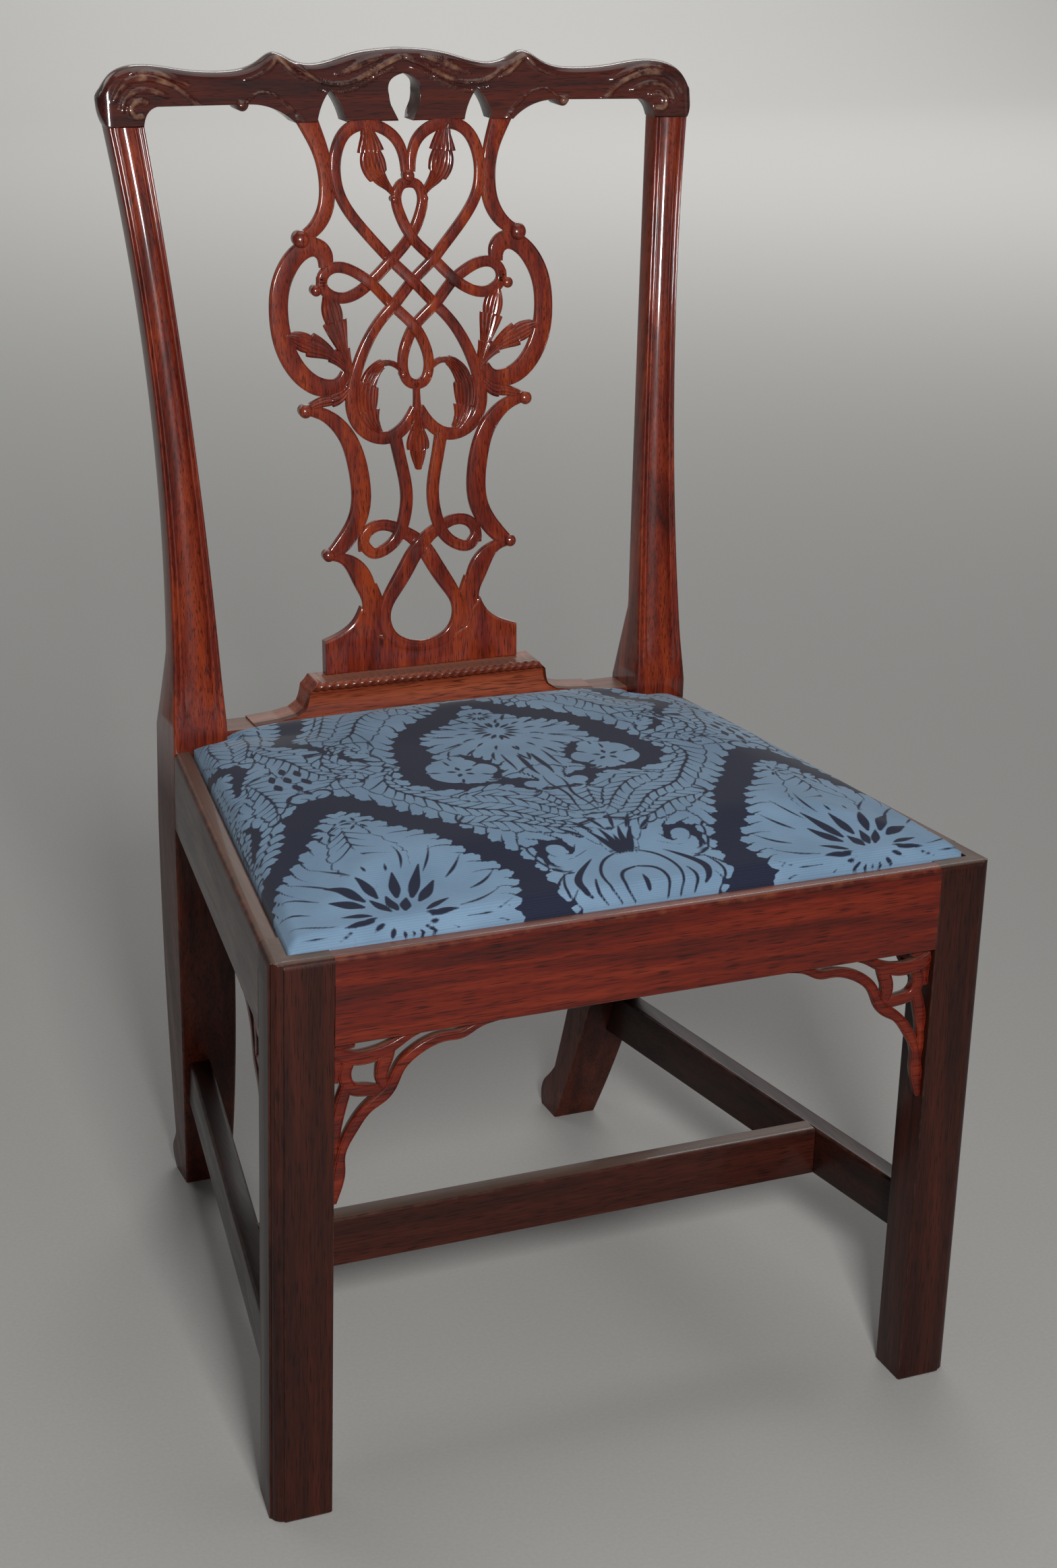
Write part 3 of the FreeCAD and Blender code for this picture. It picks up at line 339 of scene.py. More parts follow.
# The side rails are a darker copy of the rail finish: painted shade for faces turned from the light.
shaded_side_rail_wood = mahogany("polished_mahogany_side_rail_painted_shade", "Y", "#220a05", "#351009", "#46190c", gloss=0.3)
# Legs and stretchers are darker than the rails: part a duller, darker finish, part painted shade under the
# seat.
DULL_EDGE = "#54342a"
leg_wood = mahogany("dull_mahogany_upright_stain_and_shade", "Z", "#1c0a06", "#2e110a", "#3e180e", DULL_EDGE, gloss=0.15)
stretcher_wood = mahogany("dull_mahogany_stretcher_stain_and_shade", "X", "#240d08", "#35140c", "#441b11", DULL_EDGE,
                          dust=0.2, gloss=0.2)
# The side stretchers are darker again: painted shade for faces turned from the light under the seat.
shaded_side_stretcher_wood = mahogany("dull_mahogany_side_stretcher_painted_shade", "Y", "#170a06", "#230e09", "#2e130c",
                               DULL_EDGE, dust=0.0, gloss=0.1)
print("mahogany finishes", len(bpy.data.materials))

# %% [markdown]
# ## Seat rails, legs and stretchers
# The rails are planed bars, rebated for the lift-out seat, so their section is an L with a rounded outer
# top edge. A box with a cut would need its edges eased one by one. Here the eased section is drawn once and
# carried along each rail: straight in front and behind, and along the slanted line of the sides.

# %% Rails
ARRIS = 1.2
RAIL_ROUND = 5.0
OVOLO = 7.0
OVOLO_FILLET = 1.5
CANT_START = OVOLO + OVOLO_FILLET
rail_slope = (half_front - rear_width / 2) / (seat_depth - CANT_START)
slant = np.hypot(1, rail_slope)


def side_x(y, inset):
    """Distance from the middle to a line set in from the outer face of the front leg and side rail."""
    return half_front - rail_slope * (y - CANT_START) - inset * slant


rail_corners = [(0, rail_bottom), (rail_thick, rail_bottom), (rail_thick, ledge), (lip, ledge),
                (lip, seat_height), (0, seat_height)]
rail_section, rail_wear = eased(rail_corners, [ARRIS, ARRIS, ARRIS, ARRIS, 2 * ARRIS, RAIL_ROUND])
rail_stations = np.linspace(-inner_leg, inner_leg, 60)
add_piece("front_seat_rail", [skin(along_x(rail_section, rail_stations), rail_wear)], rail_wood)
side_y = np.linspace(leg, seat_depth, 50)[:, None]
side_rings = np.stack([side_x(side_y, rail_section[:, 0]), np.broadcast_to(side_y, (50, len(rail_section))),
                       np.broadcast_to(rail_section[:, 1], (50, len(rail_section)))], -1)
add_piece("side_seat_rail_right", [skin(side_rings, rail_wear)], shaded_side_rail_wood)
add_piece("side_seat_rail_left", [skin(mirrored(side_rings), rail_wear)], shaded_side_rail_wood)
post_inner = 180.0
rear_face = 412.0
rear_wall = 427.0
post_back_y = 458.0
rear_corners = [(rear_face, rail_bottom), (post_back_y, rail_bottom), (post_back_y, rear_rail_top),
                (rear_wall, rear_rail_top), (rear_wall, ledge), (rear_face, ledge)]
rear_section, rear_wear = eased(rear_corners, [ARRIS, ARRIS, 3, 2.5, 1, 1])
rear_rings = along_x(rear_section, np.linspace(-post_inner, post_inner, 40))
add_piece("rear_seat_rail", [skin(rear_rings, rear_wear)], rear_wood)

# %% [markdown]
# The front legs are square, with a quarter-round moulding on the outer corner and a chamfer inside. At the
# seat each leg is cut down to an L that goes on with the rails' lip. It could be one solid with a pocket, but
# two stacks of rings, the leg and its lip, keep every edge eased.

# %% Front legs
CHAMFER = 10.0
TOP_CHAMFER = 0.9
# Points of the moulded corner in the eased plan: four for each of its eleven corners.
MOULDED_CORNER = slice(4, 48)


def leg_ring(chamfer):
    """Plan of a front leg: square, with a quarter-round between two small steps on its outer corner."""
    turn = np.linspace(0, np.pi / 2, 9)
    edge = half_front - OVOLO_FILLET
    round_x = edge - OVOLO + OVOLO * np.sin(turn)
    round_part = np.stack([round_x, OVOLO_FILLET + OVOLO * (1 - np.cos(turn))], -1)
    corners = [(inner_leg, 0), (edge - OVOLO, 0), *round_part, (half_front, CANT_START),
               (side_x(leg, 0), leg), (inner_leg + chamfer, leg), (inner_leg, leg - chamfer)]
    setbacks = [ARRIS, 0.6] + [0.2] * len(round_part) + [0.6, ARRIS, 0.4, 0.4]
    return eased(corners, setbacks, 4)


def leg_shells():
    """Leg below the seat ledge, and the L-shaped lip round the seat's corner with its rounded top."""
    lower, wear = leg_ring(CHAMFER)
    upper = leg_ring(TOP_CHAMFER)[0]
    heights = np.array([0, 1.5, *np.linspace(30, rail_bottom - 30, 12), rail_bottom, rail_bottom, ledge])
    plans = np.stack([lower] * (len(heights) - 2) + [upper] * 2)
    middle = np.array([half_front - leg / 2, leg / 2])
    plans[0] = middle + (plans[0] - middle) * (1 - 2 * ARRIS / leg)
    column = np.concatenate([plans, np.broadcast_to(heights[:, None, None], (*plans.shape[:2], 1))], -1)
    ring = np.array([(inner_leg, 0), *lower[MOULDED_CORNER], (side_x(leg, 0), leg), (side_x(leg, lip), leg),
                     (side_x(lip, lip), lip), (inner_leg, lip)])
    turn = np.concatenate([[0, 0], np.linspace(0, np.pi / 2, 5)])
    shoulder = seat_height - RAIL_ROUND
    rise = np.concatenate([[ledge, shoulder], shoulder + RAIL_ROUND * np.sin(turn[2:])])
    inset = RAIL_ROUND * (1 - np.cos(turn))
    rings = np.broadcast_to(ring, (len(turn), *ring.shape)).copy()
    rings[..., 0] = np.minimum(rings[..., 0], side_x(rings[..., 1], inset[:, None]))
    rings[..., 1] = np.maximum(rings[..., 1], inset[:, None])
    lips = np.concatenate([rings, np.broadcast_to(rise[:, None, None], (*rings.shape[:2], 1))], -1)
    lip_wear = np.broadcast_to((turn / np.pi * 2)[:, None] * 0.6, rings.shape[:2])
    return [(column, wear), (lips, lip_wear)]


add_piece("front_leg_right", [skin(r, w) for r, w in leg_shells()], leg_wood)
add_piece("front_leg_left", [skin(mirrored(r), w) for r, w in leg_shells()], leg_wood)

# %% [markdown]
# A stretcher on each side ties a front leg to a rear leg, and a third one between them stops the legs from
# spreading. They are plain bars with eased edges. The side ones lean inwards and end on the curved front of
# the rear leg, so each line of the bar gets its own length, found from that curve at its own height.

# %% Stretchers
stretcher_low, stretcher_high = node_box("cross_stretcher")
STRETCHER_THICK = 18.0
STRETCHER_FRONT = 261.0
STRETCHER_REAR = 195.5
flat_low = 359.0
FOOT_KICK = 83.0
LEG_FRONT_BOW = 18.0
SUNK = 3.0


def rear_leg_front(z):
    """Front face of the rear leg below the seat: it kicks back to the floor, hollowed towards the front."""
    return bowed(1 - z / flat_low, seat_depth, seat_depth + FOOT_KICK, -LEG_FRONT_BOW)


stretcher_end = rear_leg_front((stretcher_low[2] + stretcher_high[2]) / 2)
stretcher_lean = (STRETCHER_FRONT - STRETCHER_REAR) / (stretcher_end - leg)
bar_corners = [(-STRETCHER_THICK / 2, stretcher_low[2]), (STRETCHER_THICK / 2, stretcher_low[2]),
               (STRETCHER_THICK / 2, stretcher_high[2]), (-STRETCHER_THICK / 2, stretcher_high[2])]
bar_section, bar_wear = eased(bar_corners, [ARRIS, ARRIS, 3.0, 3.0])
bar_y = leg + (rear_leg_front(bar_section[:, 1]) + SUNK - leg) * np.linspace(0, 1, 30)[:, None]
bar_rings = np.stack([STRETCHER_FRONT - stretcher_lean * (bar_y - leg) + bar_section[:, 0], bar_y,
                      np.broadcast_to(bar_section[:, 1], bar_y.shape)], -1)
add_piece("side_stretcher_right", [skin(bar_rings, bar_wear)], shaded_side_stretcher_wood)
add_piece("side_stretcher_left", [skin(mirrored(bar_rings), bar_wear)], shaded_side_stretcher_wood)
cross_y = (stretcher_low[1] + stretcher_high[1]) / 2
cross_half = STRETCHER_FRONT - stretcher_lean * (cross_y - leg) - STRETCHER_THICK / 2 + 1
cross_section = bar_section + (cross_y, 0)
cross_rings = along_x(cross_section, np.linspace(-cross_half, cross_half, 40))
add_piece("cross_stretcher", [skin(cross_rings, bar_wear)], stretcher_wood)

# %% [markdown]
# ## Back posts
# Each post is one piece with its rear leg. Above the seat its face is moulded: a broad round between two
# pairs of small beads, which die into a plain square face at the seat. The outline bows in both views, so a
# sweep along one path would not do: four lines over the height say where its faces are, and each ring is laid
# between them.

# %% Back posts
flat_high = 446.0
waist_z = 508.0
WAIST_BACK = 440.7
POST_TOP_FRONT = 490.0
POST_TOP_BACK = 514.0
POST_TOP_INNER = 215.0
POST_BOW = 5.5
POST_OUTER_BOW = 12.5
POST_INNER_BOW = 4.2
FOOT_OUTER = 195.5
FOOT_INNER = 155.5
LEG_BACK_BOW = 8.0
LEG_OUTER_BOW = 4.8
MOULDING_START = 452.0
MOULDING_FADE = 40.0
heel = spline([(502, 46), (512, 34), (522.5, 22), (525, 13), (521, 0)], 0.5)


def post_lines(z):
    """Front, back, outer and inner lines of the post at heights z.

    Below the seat they kick back to the floor and end in a heel, and above it they bow.
    """
    below = z < flat_low
    low = np.clip(z / flat_low, 0, 1)
    t = np.clip((z - flat_high) / (joint_height - flat_high), 0, 1)
    front = np.where(below, rear_leg_front(z), bowed(t, seat_depth, POST_TOP_FRONT, -POST_BOW))
    leg_t = np.clip((z - heel[0, 1]) / (flat_low - heel[0, 1]), 0, 1)
    leg_back = np.where(z < heel[0, 1], np.interp(z, heel[::-1, 1], heel[::-1, 0]),
                        bowed(leg_t, heel[0, 0], post_back_y, -LEG_BACK_BOW))
    waist = np.interp(z, [flat_high, waist_z], [post_back_y, WAIST_BACK])
    top_t = np.clip((z - waist_z) / (joint_height - waist_z), 0, 1)
    upper_back = np.where(z < waist_z, waist, bowed(top_t, WAIST_BACK, POST_TOP_BACK, -POST_BOW))
    back = np.where(below, leg_back, upper_back)
    leg_outer = bowed(low, FOOT_OUTER, rear_width / 2, LEG_OUTER_BOW)
    outer = np.where(below, leg_outer, bowed(t, rear_width / 2, top_width / 2, -POST_OUTER_BOW))
    leg_inner = bowed(low, FOOT_INNER, post_inner, 0)
    inner = np.where(below, leg_inner, bowed(t, post_inner, POST_TOP_INNER, -POST_INNER_BOW))
    return front, back, outer, inner


def post_moulding(c):
    """Depth below the face at c from -1 to 1 across it: a broad round, then two beads at each edge."""
    a = np.abs(c)
    broad = 3.0 * (a / 0.56) ** 2
    first = 3.0 - 2.2 * np.sqrt(np.clip(1 - ((a - 0.67) / 0.11) ** 2, 0, 1))
    second = 3.6 - 2.5 * np.sqrt(np.clip(1 - ((a - 0.89) / 0.11) ** 2, 0, 1))
    return np.where(a < 0.56, broad, np.where(a < 0.78, first, second))


def post_rings():
    """Rings of the right-hand post from the floor to the crest."""
    z = np.concatenate([np.linspace(0, 50, 36), np.linspace(58, flat_low, 30),
                        np.linspace(flat_low + 5, joint_height, 100)])[:, None]
    front, back, outer, inner = post_lines(z)
    across = np.linspace(-1, 1, 81)[None, :]
    carved = np.clip((z - MOULDING_START) / MOULDING_FADE, 0, 1)
    carved = carved * carved * (3 - 2 * carved)
    arris = 1.1 * np.clip((np.abs(across) - 0.93) / 0.07, 0, 1) ** 2
    depth = post_moulding(across) * carved + arris * (1 - carved)
    face_x = (inner + outer) / 2 + across * (outer - inner) / 2
    soft = np.where(z > flat_high, 4.0, 1.2)
    u = np.linspace(0, 1, 5)[None, :]
    near = back - soft * (1 - u) ** 2
    back_out = outer - soft * u ** 2
    back_in = inner + soft * u ** 2
    x = np.concatenate([face_x, back_out, back_in[:, ::-1]], 1)
    y = np.concatenate([front + depth, near, near[:, ::-1]], 1)
    rubbed = np.clip(np.abs(across) - 0.9, 0, 1) * 8 * np.ones_like(z)
    wear = np.concatenate([rubbed, np.zeros((len(z), 10))], 1)
    return np.stack([x, y, np.broadcast_to(z, x.shape)], -1), np.clip(wear, 0, 0.8)


rings, wear = post_rings()
add_piece("back_post_right", [skin(rings, wear)], post_wood)
add_piece("back_post_left", [skin(mirrored(rings), wear)], post_wood)

# %% [markdown]
# ## Splat
# The splat is a thin board sawn into interlaced straps and carved. It could be one pierced board, but then
# the straps would not weave. Each strap here is a shallow moulded section, flat with a fine sunk line inside
# each edge and cut away behind, carried along its own curve on the bowed face of the board. Where two straps
# cross, one rises and the other sinks, over and under in turn. A point of a strap is (x, height, width).

# %% Splat surface and straps
SPLAT_FRONT = 445.5
SPLAT_RAKE = 56.0
SPLAT_BOW = -6.5
SPLAT_THICK = 8.0
WEAVE_RISE = 1.5
WEAVE_REACH = 9.0


def splat_y(z):
    """Front of the splat's bowed face at height z."""
    t = (z - shoe_top) / (joint_height - shoe_top)
    return bowed(t, SPLAT_FRONT, SPLAT_FRONT + SPLAT_RAKE, SPLAT_BOW)


def frame_along(curve):
    """Unit vectors across a flat curve, pointing to its left."""
    run = np.gradient(curve[:, :2], axis=0)
    run /= np.linalg.norm(run, axis=1, keepdims=True)
    return np.stack([-run[:, 1], run[:, 0]], -1)


def strap_section(width):
    """Across and depth of a strap's ring at each width, and its wear: sunk lines inside eased edges."""
    w = width[:, None] / 2
    face = np.array([0, 0.12, 0.4, 0.75, 1.0, 1.25, 1.6, 2.1])
    edge = w - np.minimum(face, w * 0.8)
    drop = np.array([1.0, 0.45, 0.12, 0.1, 0.5, 0.5, 0.12, 0.0])
    back = np.maximum(w - 2.6, w * 0.35)
    across = np.concatenate([-w, -edge, edge[:, ::-1], w, back, -back], 1)
    depth = np.concatenate([[2.8], drop, drop[::-1], [2.8], [SPLAT_THICK], [SPLAT_THICK]])
    wear = np.concatenate([[0.2, 0.8, 0.9, 0.6], np.zeros(10), [0.6, 0.9, 0.8, 0.2], [0, 0]])
    return across, np.broadcast_to(depth, across.shape), np.broadcast_to(wear, across.shape)


def on_splat(curve, across, depth):
    """Places of (across, depth) offsets from a curve drawn on the splat's face."""
    side = frame_along(curve)
    x = curve[:, :1] + side[:, :1] * across
    z = shoe_top + curve[:, 1:2] + side[:, 1:2] * across
    return np.stack([x, splat_y(z) + depth, z], -1)


def strap(points, crossings=(), lift=0.0):
    """Rings and wear of a strap; crossings are (x, up, +1 over or -1 under)."""
    curve = spline(points)
    across, depth, wear = strap_section(curve[:, 2])
    rise = np.full(len(curve), lift)
    for x, up, way in crossings:
        away = np.hypot(curve[:, 0] - x, curve[:, 1] - up)
        rise += way * WEAVE_RISE * np.exp(-(away / WEAVE_REACH) ** 2)
    return on_splat(curve, across, depth - rise[:, None]), wear


def both_sides(points, crossings=(), lift=0.0):
    """A strap and its reflection, which goes under where the first goes over."""
    right, wear = strap(points, crossings, lift)
    left, _ = strap(points, [(x, up, -way) for x, up, way in crossings], lift)
    return [skin(right, wear), skin(mirrored(left), wear)]


outer_strap = [(87, 450, 20), (79, 432, 16), (73, 417, 13.5), (69.5, 402, 12.5), (68.5, 388, 12.5),
               (70, 374, 13), (75, 363, 12.5), (83, 354.5, 11), (91, 350, 9)]
heart_strap = [(2.5, 398, 7), (3.5, 410, 8), (9, 423, 9), (21, 432, 9.5), (37, 435, 10), (50.5, 429.5, 10),
               (59, 416, 10), (61.5, 398, 9.5), (58.5, 382, 9), (51, 368, 9), (39, 353, 9), (18, 330.5, 9),
               (0, 313, 9), (-18, 295, 9), (-32, 280, 9), (-44, 261, 9.5), (-52.5, 240, 10), (-56, 221, 10.5),
               (-52, 204, 10.5), (-40, 193, 10.5), (-24, 191, 10.5), (-10, 200, 10), (-2, 213, 8)]
upper_knot = [(-2, 390, 8.5), (6, 388.5, 8.5), (11, 379.5, 8.5), (8.5, 365, 9), (0, 348, 9), (-18, 330.5, 9),
              (-36, 313, 9), (-47, 306, 9), (-59, 302.5, 9), (-70, 305, 9), (-76.5, 312, 9), (-76.5, 319, 9)]
lower_knot = [(-77, 310, 9), (-75.5, 320, 9), (-69, 325.5, 9), (-59, 326, 9), (-47, 321, 9), (-36, 313, 9),
              (-18, 295, 9), (0, 277, 9), (8.5, 262, 9), (11, 244, 8.5), (6, 233.5, 8.5), (-2, 231.5, 8.5)]
c_scroll = [(73, 326, 11), (74, 337, 14), (81, 342.5, 15), (92, 340, 15), (104, 328, 15.5),
            (111.5, 311, 15.5), (113.5, 293, 15.5), (111, 271, 16), (103, 252, 16), (90, 238, 15.5),
            (75, 233, 14), (65, 236, 11), (60, 244, 8)]
lower_strap = [(93, 216, 8), (82, 213, 10), (69, 204, 12.5), (59, 190, 14.5), (53.5, 174, 16),
               (50.5, 156, 16.5), (50.5, 139, 16.5), (54, 126, 16), (62, 113, 15), (71, 103.5, 13),
               (79, 98.5, 8)]
leg_strap = [(20, 192, 11), (16, 172, 10.5), (12.5, 155, 10.5), (11.5, 139, 10.5), (14, 124, 10.5),
             (20, 109.5, 10), (31, 100, 9.5), (42, 98, 9.5), (50, 107, 9.5)]
teardrop_strap = [(49, 100, 9.5), (48, 112, 9.5), (41, 118.5, 9.5), (31, 120, 9.5), (18, 115, 10),
                  (0, 102, 13), (-12, 84, 14), (-23, 67, 13), (-31.5, 51, 11), (-32, 38, 11),
                  (-26, 26, 11), (-14, 18.5, 11), (0, 16, 10)]
foot_strap = [(80, 98, 7), (68, 95.5, 9), (57, 87, 15), (49.5, 74, 17), (45, 58, 13), (46.5, 44, 12),
              (51, 33, 12), (58, 23, 12)]
splat_shells = both_sides(outer_strap, lift=-0.4)
splat_shells += both_sides(heart_strap, [(18, 330.5, 1), (0, 313, -1), (-18, 295, 1)], 0.2)
splat_shells += both_sides(upper_knot, [(0, 348, -1), (-18, 330.5, 1), (-36, 313, -1)])
splat_shells += both_sides(lower_knot, [(-36, 313, 1), (-18, 295, -1), (0, 277, 1)])
splat_shells += both_sides(c_scroll, lift=-0.2)
splat_shells += both_sides(lower_strap, lift=-0.5)
splat_shells += both_sides(leg_strap, lift=0.5)
splat_shells += both_sides(teardrop_strap, [(0, 102, 1)], -0.4)
splat_shells += both_sides(foot_strap, lift=-0.8)
print("splat straps", len(splat_shells))

# %% [markdown]
# Between the straps grow carved leaves: a strip whose edge is scalloped into lobes and whose domed face is
# fluted, most in the middle. Cutting them from a block would take many steps, while one section carried along
# the leaf keeps lobes and flutes together. Small round volutes end the scrolls, and a plain plinth stands in
# the shoe.

# %% Splat leaves, volutes and plinth
LEAF_SIDES = 25
LEAF_THICK = 6.5


def leaf(points, lobes, flutes=5):
    """Rings of a carved leaf: each lobe widens and then steps back, over a domed face of rounded flutes."""
    curve = spline(points, 0.7)
    s = np.linspace(0, 1, len(curve))[:, None]
    lobe = 0.7 + 0.3 * np.mod(lobes * s - 1e-6, 1) ** 0.6
    width = curve[:, 2:3] / 2 * np.where(s < 0.1, np.maximum(lobe, 0.9), lobe)
    a = np.linspace(-1, 1, LEAF_SIDES)[None, :]
    flute = 1.1 * np.abs(np.sin(np.pi * flutes * (a + 1) / 2))
    dome = 2.2 * np.sqrt(np.clip(1 - a ** 2, 0, 1))
    depth = 2.4 - dome - flute * (1 - a ** 4) * np.clip(width / 6, 0.2, 1)
    across = np.concatenate([a * width, 0.7 * width, -0.7 * width], 1)
    depth = np.concatenate([depth, np.full((len(s), 2), LEAF_THICK)], 1)
    return on_splat(curve, across, depth), 0.25


def volute(x, up, radius):
    """Rings of a round boss: a dome that overhangs its back a little."""
    turn = np.linspace(0, 2 * np.pi, 24, endpoint=False)[None, :]
    tilt = np.linspace(0.04, np.pi * 0.62, 12)[:, None]
    spread = radius * np.sin(tilt)
    depth = 1.0 - 0.75 * radius * np.cos(tilt)
    ring_x = x + spread * np.cos(turn)
    ring_z = shoe_top + up + spread * np.sin(turn)
    dome = np.stack([ring_x, splat_y(ring_z) + depth, ring_z], -1)
    foot = dome[-1:].copy()
    foot[..., 1] = splat_y(foot[..., 2]) + LEAF_THICK
    return np.concatenate([dome, foot]), 0.3


heart_leaf = [(33, 434, 10), (31, 420, 20), (29, 405, 24), (24, 394, 16), (17, 386, 7), (12, 380, 5)]
heart_root = [(33, 194, 8), (40, 205, 18), (43, 220, 23), (41, 234, 19), (34, 245, 12), (25, 250, 7),
              (15, 246, 5), (10, 241, 4)]
tall_sprig = [(55, 241, 7), (59, 255, 10), (64, 272, 17), (68, 287, 21), (71, 299, 15), (73, 306, 6)]
low_sprig = [(56, 244, 7), (68, 256, 11), (81, 264, 18), (93, 269, 19), (102, 273, 12), (108, 275, 5)]
scroll_leaf = [(58, 232, 8), (68, 224, 12), (80, 222, 10), (90, 219, 6)]
foot_web = [(42, 72, 7), (40, 58, 13), (40, 44, 15), (42, 30, 17)]
pendant_leaf = [(0, 212, 8), (0, 197, 15), (0, 184, 21), (0, 173, 14), (0, 163, 5)]
heart_stem = [(0, 235, 6), (0, 222, 6), (0, 208, 8)]
for points, lobes, flutes in ((heart_leaf, 3, 6), (heart_root, 4, 6), (tall_sprig, 3, 5), (low_sprig, 3, 5),
                              (scroll_leaf, 2, 3)):
    rings, wear = leaf(points, lobes, flutes)
    splat_shells += [skin(rings, wear), skin(mirrored(rings), wear)]
splat_shells += both_sides(foot_web, lift=-1.2)
splat_shells.append(skin(*leaf(pendant_leaf, 3, 6)))
splat_shells.append(skin(*strap(heart_stem, lift=-0.3)))
for boss in ((92.5, 349, 7), (95, 215.5, 5.5), (82, 309, 4.5), (79.5, 98.5, 5), (13, 377, 3), (11, 240, 3)):
    rings, wear = volute(*boss)
    splat_shells += [skin(rings, wear), skin(mirrored(rings), wear)]
splat_shells.append(skin(*volute(0, 395, 5)))
PLINTH_HALF = 84.5
PLINTH_SINK = 0.6
plinth_x = np.linspace(-PLINTH_HALF, PLINTH_HALF, 201)
shoulder_line = spline([(52, 54), (58.5, 42), (70, 33.5), (PLINTH_HALF, 28)], 1.0)
shoulder = np.interp(np.abs(plinth_x), [0, 12, 26, 40, 46, *shoulder_line[:, 0]],
                     [19, 20, 24, 30, 48, *shoulder_line[:, 1]])
plinth_u = np.array([0.0, 0.03, 0.9, 0.97, 1.0, 1.0, 0.97, 0.03, 0.0])
plinth_d = np.array([0.8, 0.0, 0.0, 0.25, 1.0, 7.2, SPLAT_THICK, SPLAT_THICK, 7.2])
plinth_z = shoe_top + shoulder[:, None] * plinth_u
plinth_y = splat_y(plinth_z) + plinth_d + PLINTH_SINK
plinth = np.stack([np.broadcast_to(plinth_x[:, None], plinth_z.shape), plinth_y, plinth_z], -1)
plinth_wear = [0, 0, 0, 0.4, 0.6, 0, 0, 0, 0]
splat_shells.append(skin(plinth, np.broadcast_to(plinth_wear, plinth_z.shape)))
add_piece("splat", splat_shells, back_wood)

# %% [markdown]
# ## Crest rail
# The crest is one board, bowed in plan and raked, with a softly rounded top and back. One section carried
# along it can't follow the openings over the splat. So its face is ruled between the lower outline, which
# has those openings, and the upper outline.

# %% Crest outlines
CREST_THICK = 24.0
CREST_RAKE = 0.2
CREST_FRONT = 501.5
CREST_RADIUS = 2583.7
crest_top_line = [(0, 55), (40, 51), (76, 43.5), (92, 47.5), (105, 52.5), (118, 46), (150, 39), (180, 41),
                  (212, 45), (238, 38), (249, 21)]


def arc_through(a, via, b, count):
    """Points of the parabola-like curve from a to b that passes via at its middle."""
    t = np.linspace(0, 1, count, endpoint=False)[:, None]
    a, via, b = (np.array(p, float) for p in (a, via, b))
    return a + (b - a) * t + 4 * (via - (a + b) / 2) * t * (1 - t)


def crest_y(x, rise):
    """Front of the crest: bowed in plan and leaning back."""
    return CREST_FRONT - (CREST_RADIUS - np.sqrt(CREST_RADIUS ** 2 - x ** 2)) + CREST_RAKE * rise


turn = np.linspace(0, np.pi, 10, endpoint=False)
volute_edge = np.stack([135 - 5 * np.cos(turn), 14.5 - 5 * np.sin(turn)], -1)
lower_parts = [arc_through((0, 36), (11.5, 30), (13, 19), 14), arc_through((13, 19), (11, 9), (6, 0), 14),
               arc_through((6, 0), (28, 0), (50, 0), 26), arc_through((50, 0), (54.5, 13), (62, 24), 16),
               arc_through((62, 24), (69.5, 13), (74, 0), 16), arc_through((74, 0), (83, 0), (92, 0), 10),
               arc_through((92, 0), (109.5, 11), (130, 14.5), 26), volute_edge,
               arc_through((140, 14.5), (171, 14.5), (203, 14.5), 36),
               arc_through((203, 14.5), (211, 10), (215, 0), 14),
               arc_through((215, 0), (229, 0), (243.5, 0), 18),
               arc_through((243.5, 0), (248, 9.5), (249, 21), 12)]
upper_keys = [0, 20, 32, 48, 62, 76, 92, 128, 140, 203, 222, 243, 249]
lower_line = np.concatenate(lower_parts)
key_places = np.cumsum([0] + [len(part) for part in lower_parts])
upper_x = np.interp(np.arange(len(lower_line)), key_places, upper_keys)
top_curve = spline(crest_top_line, 1.0)
upper_line = np.stack([upper_x, np.interp(upper_x, top_curve[:, 0], top_curve[:, 1])], -1)
lower_line = np.concatenate([lower_line[:0:-1] * (-1, 1), lower_line])
upper_line = np.concatenate([upper_line[:0:-1] * (-1, 1), upper_line])
print("crest stations", len(lower_line))

# %% [markdown]
# The carver cut leaves and scrolls into the crest's face. A height picture could show them, but here they are
# real relief: each stroke raises a rounded ridge along its own curve, and the highest stroke wins. A point of
# a stroke is (x, rise, width, height).

# %% Crest carving
RELIEF = 1.35


def ridge(x, rise, points):
    """Height of a carved stroke: a rounded ridge, as wide and high as its points say."""
    curve = spline(points)
    away = np.hypot(np.abs(x)[..., None] - curve[:, 0], rise[..., None] - curve[:, 1])
    near = np.argmin(away, -1)
    share = np.take_along_axis(away, near[..., None], -1)[..., 0] / (curve[near, 2] / 2)
    return RELIEF * curve[near, 3] * np.sqrt(np.clip(1 - share ** 2, 0, 1))


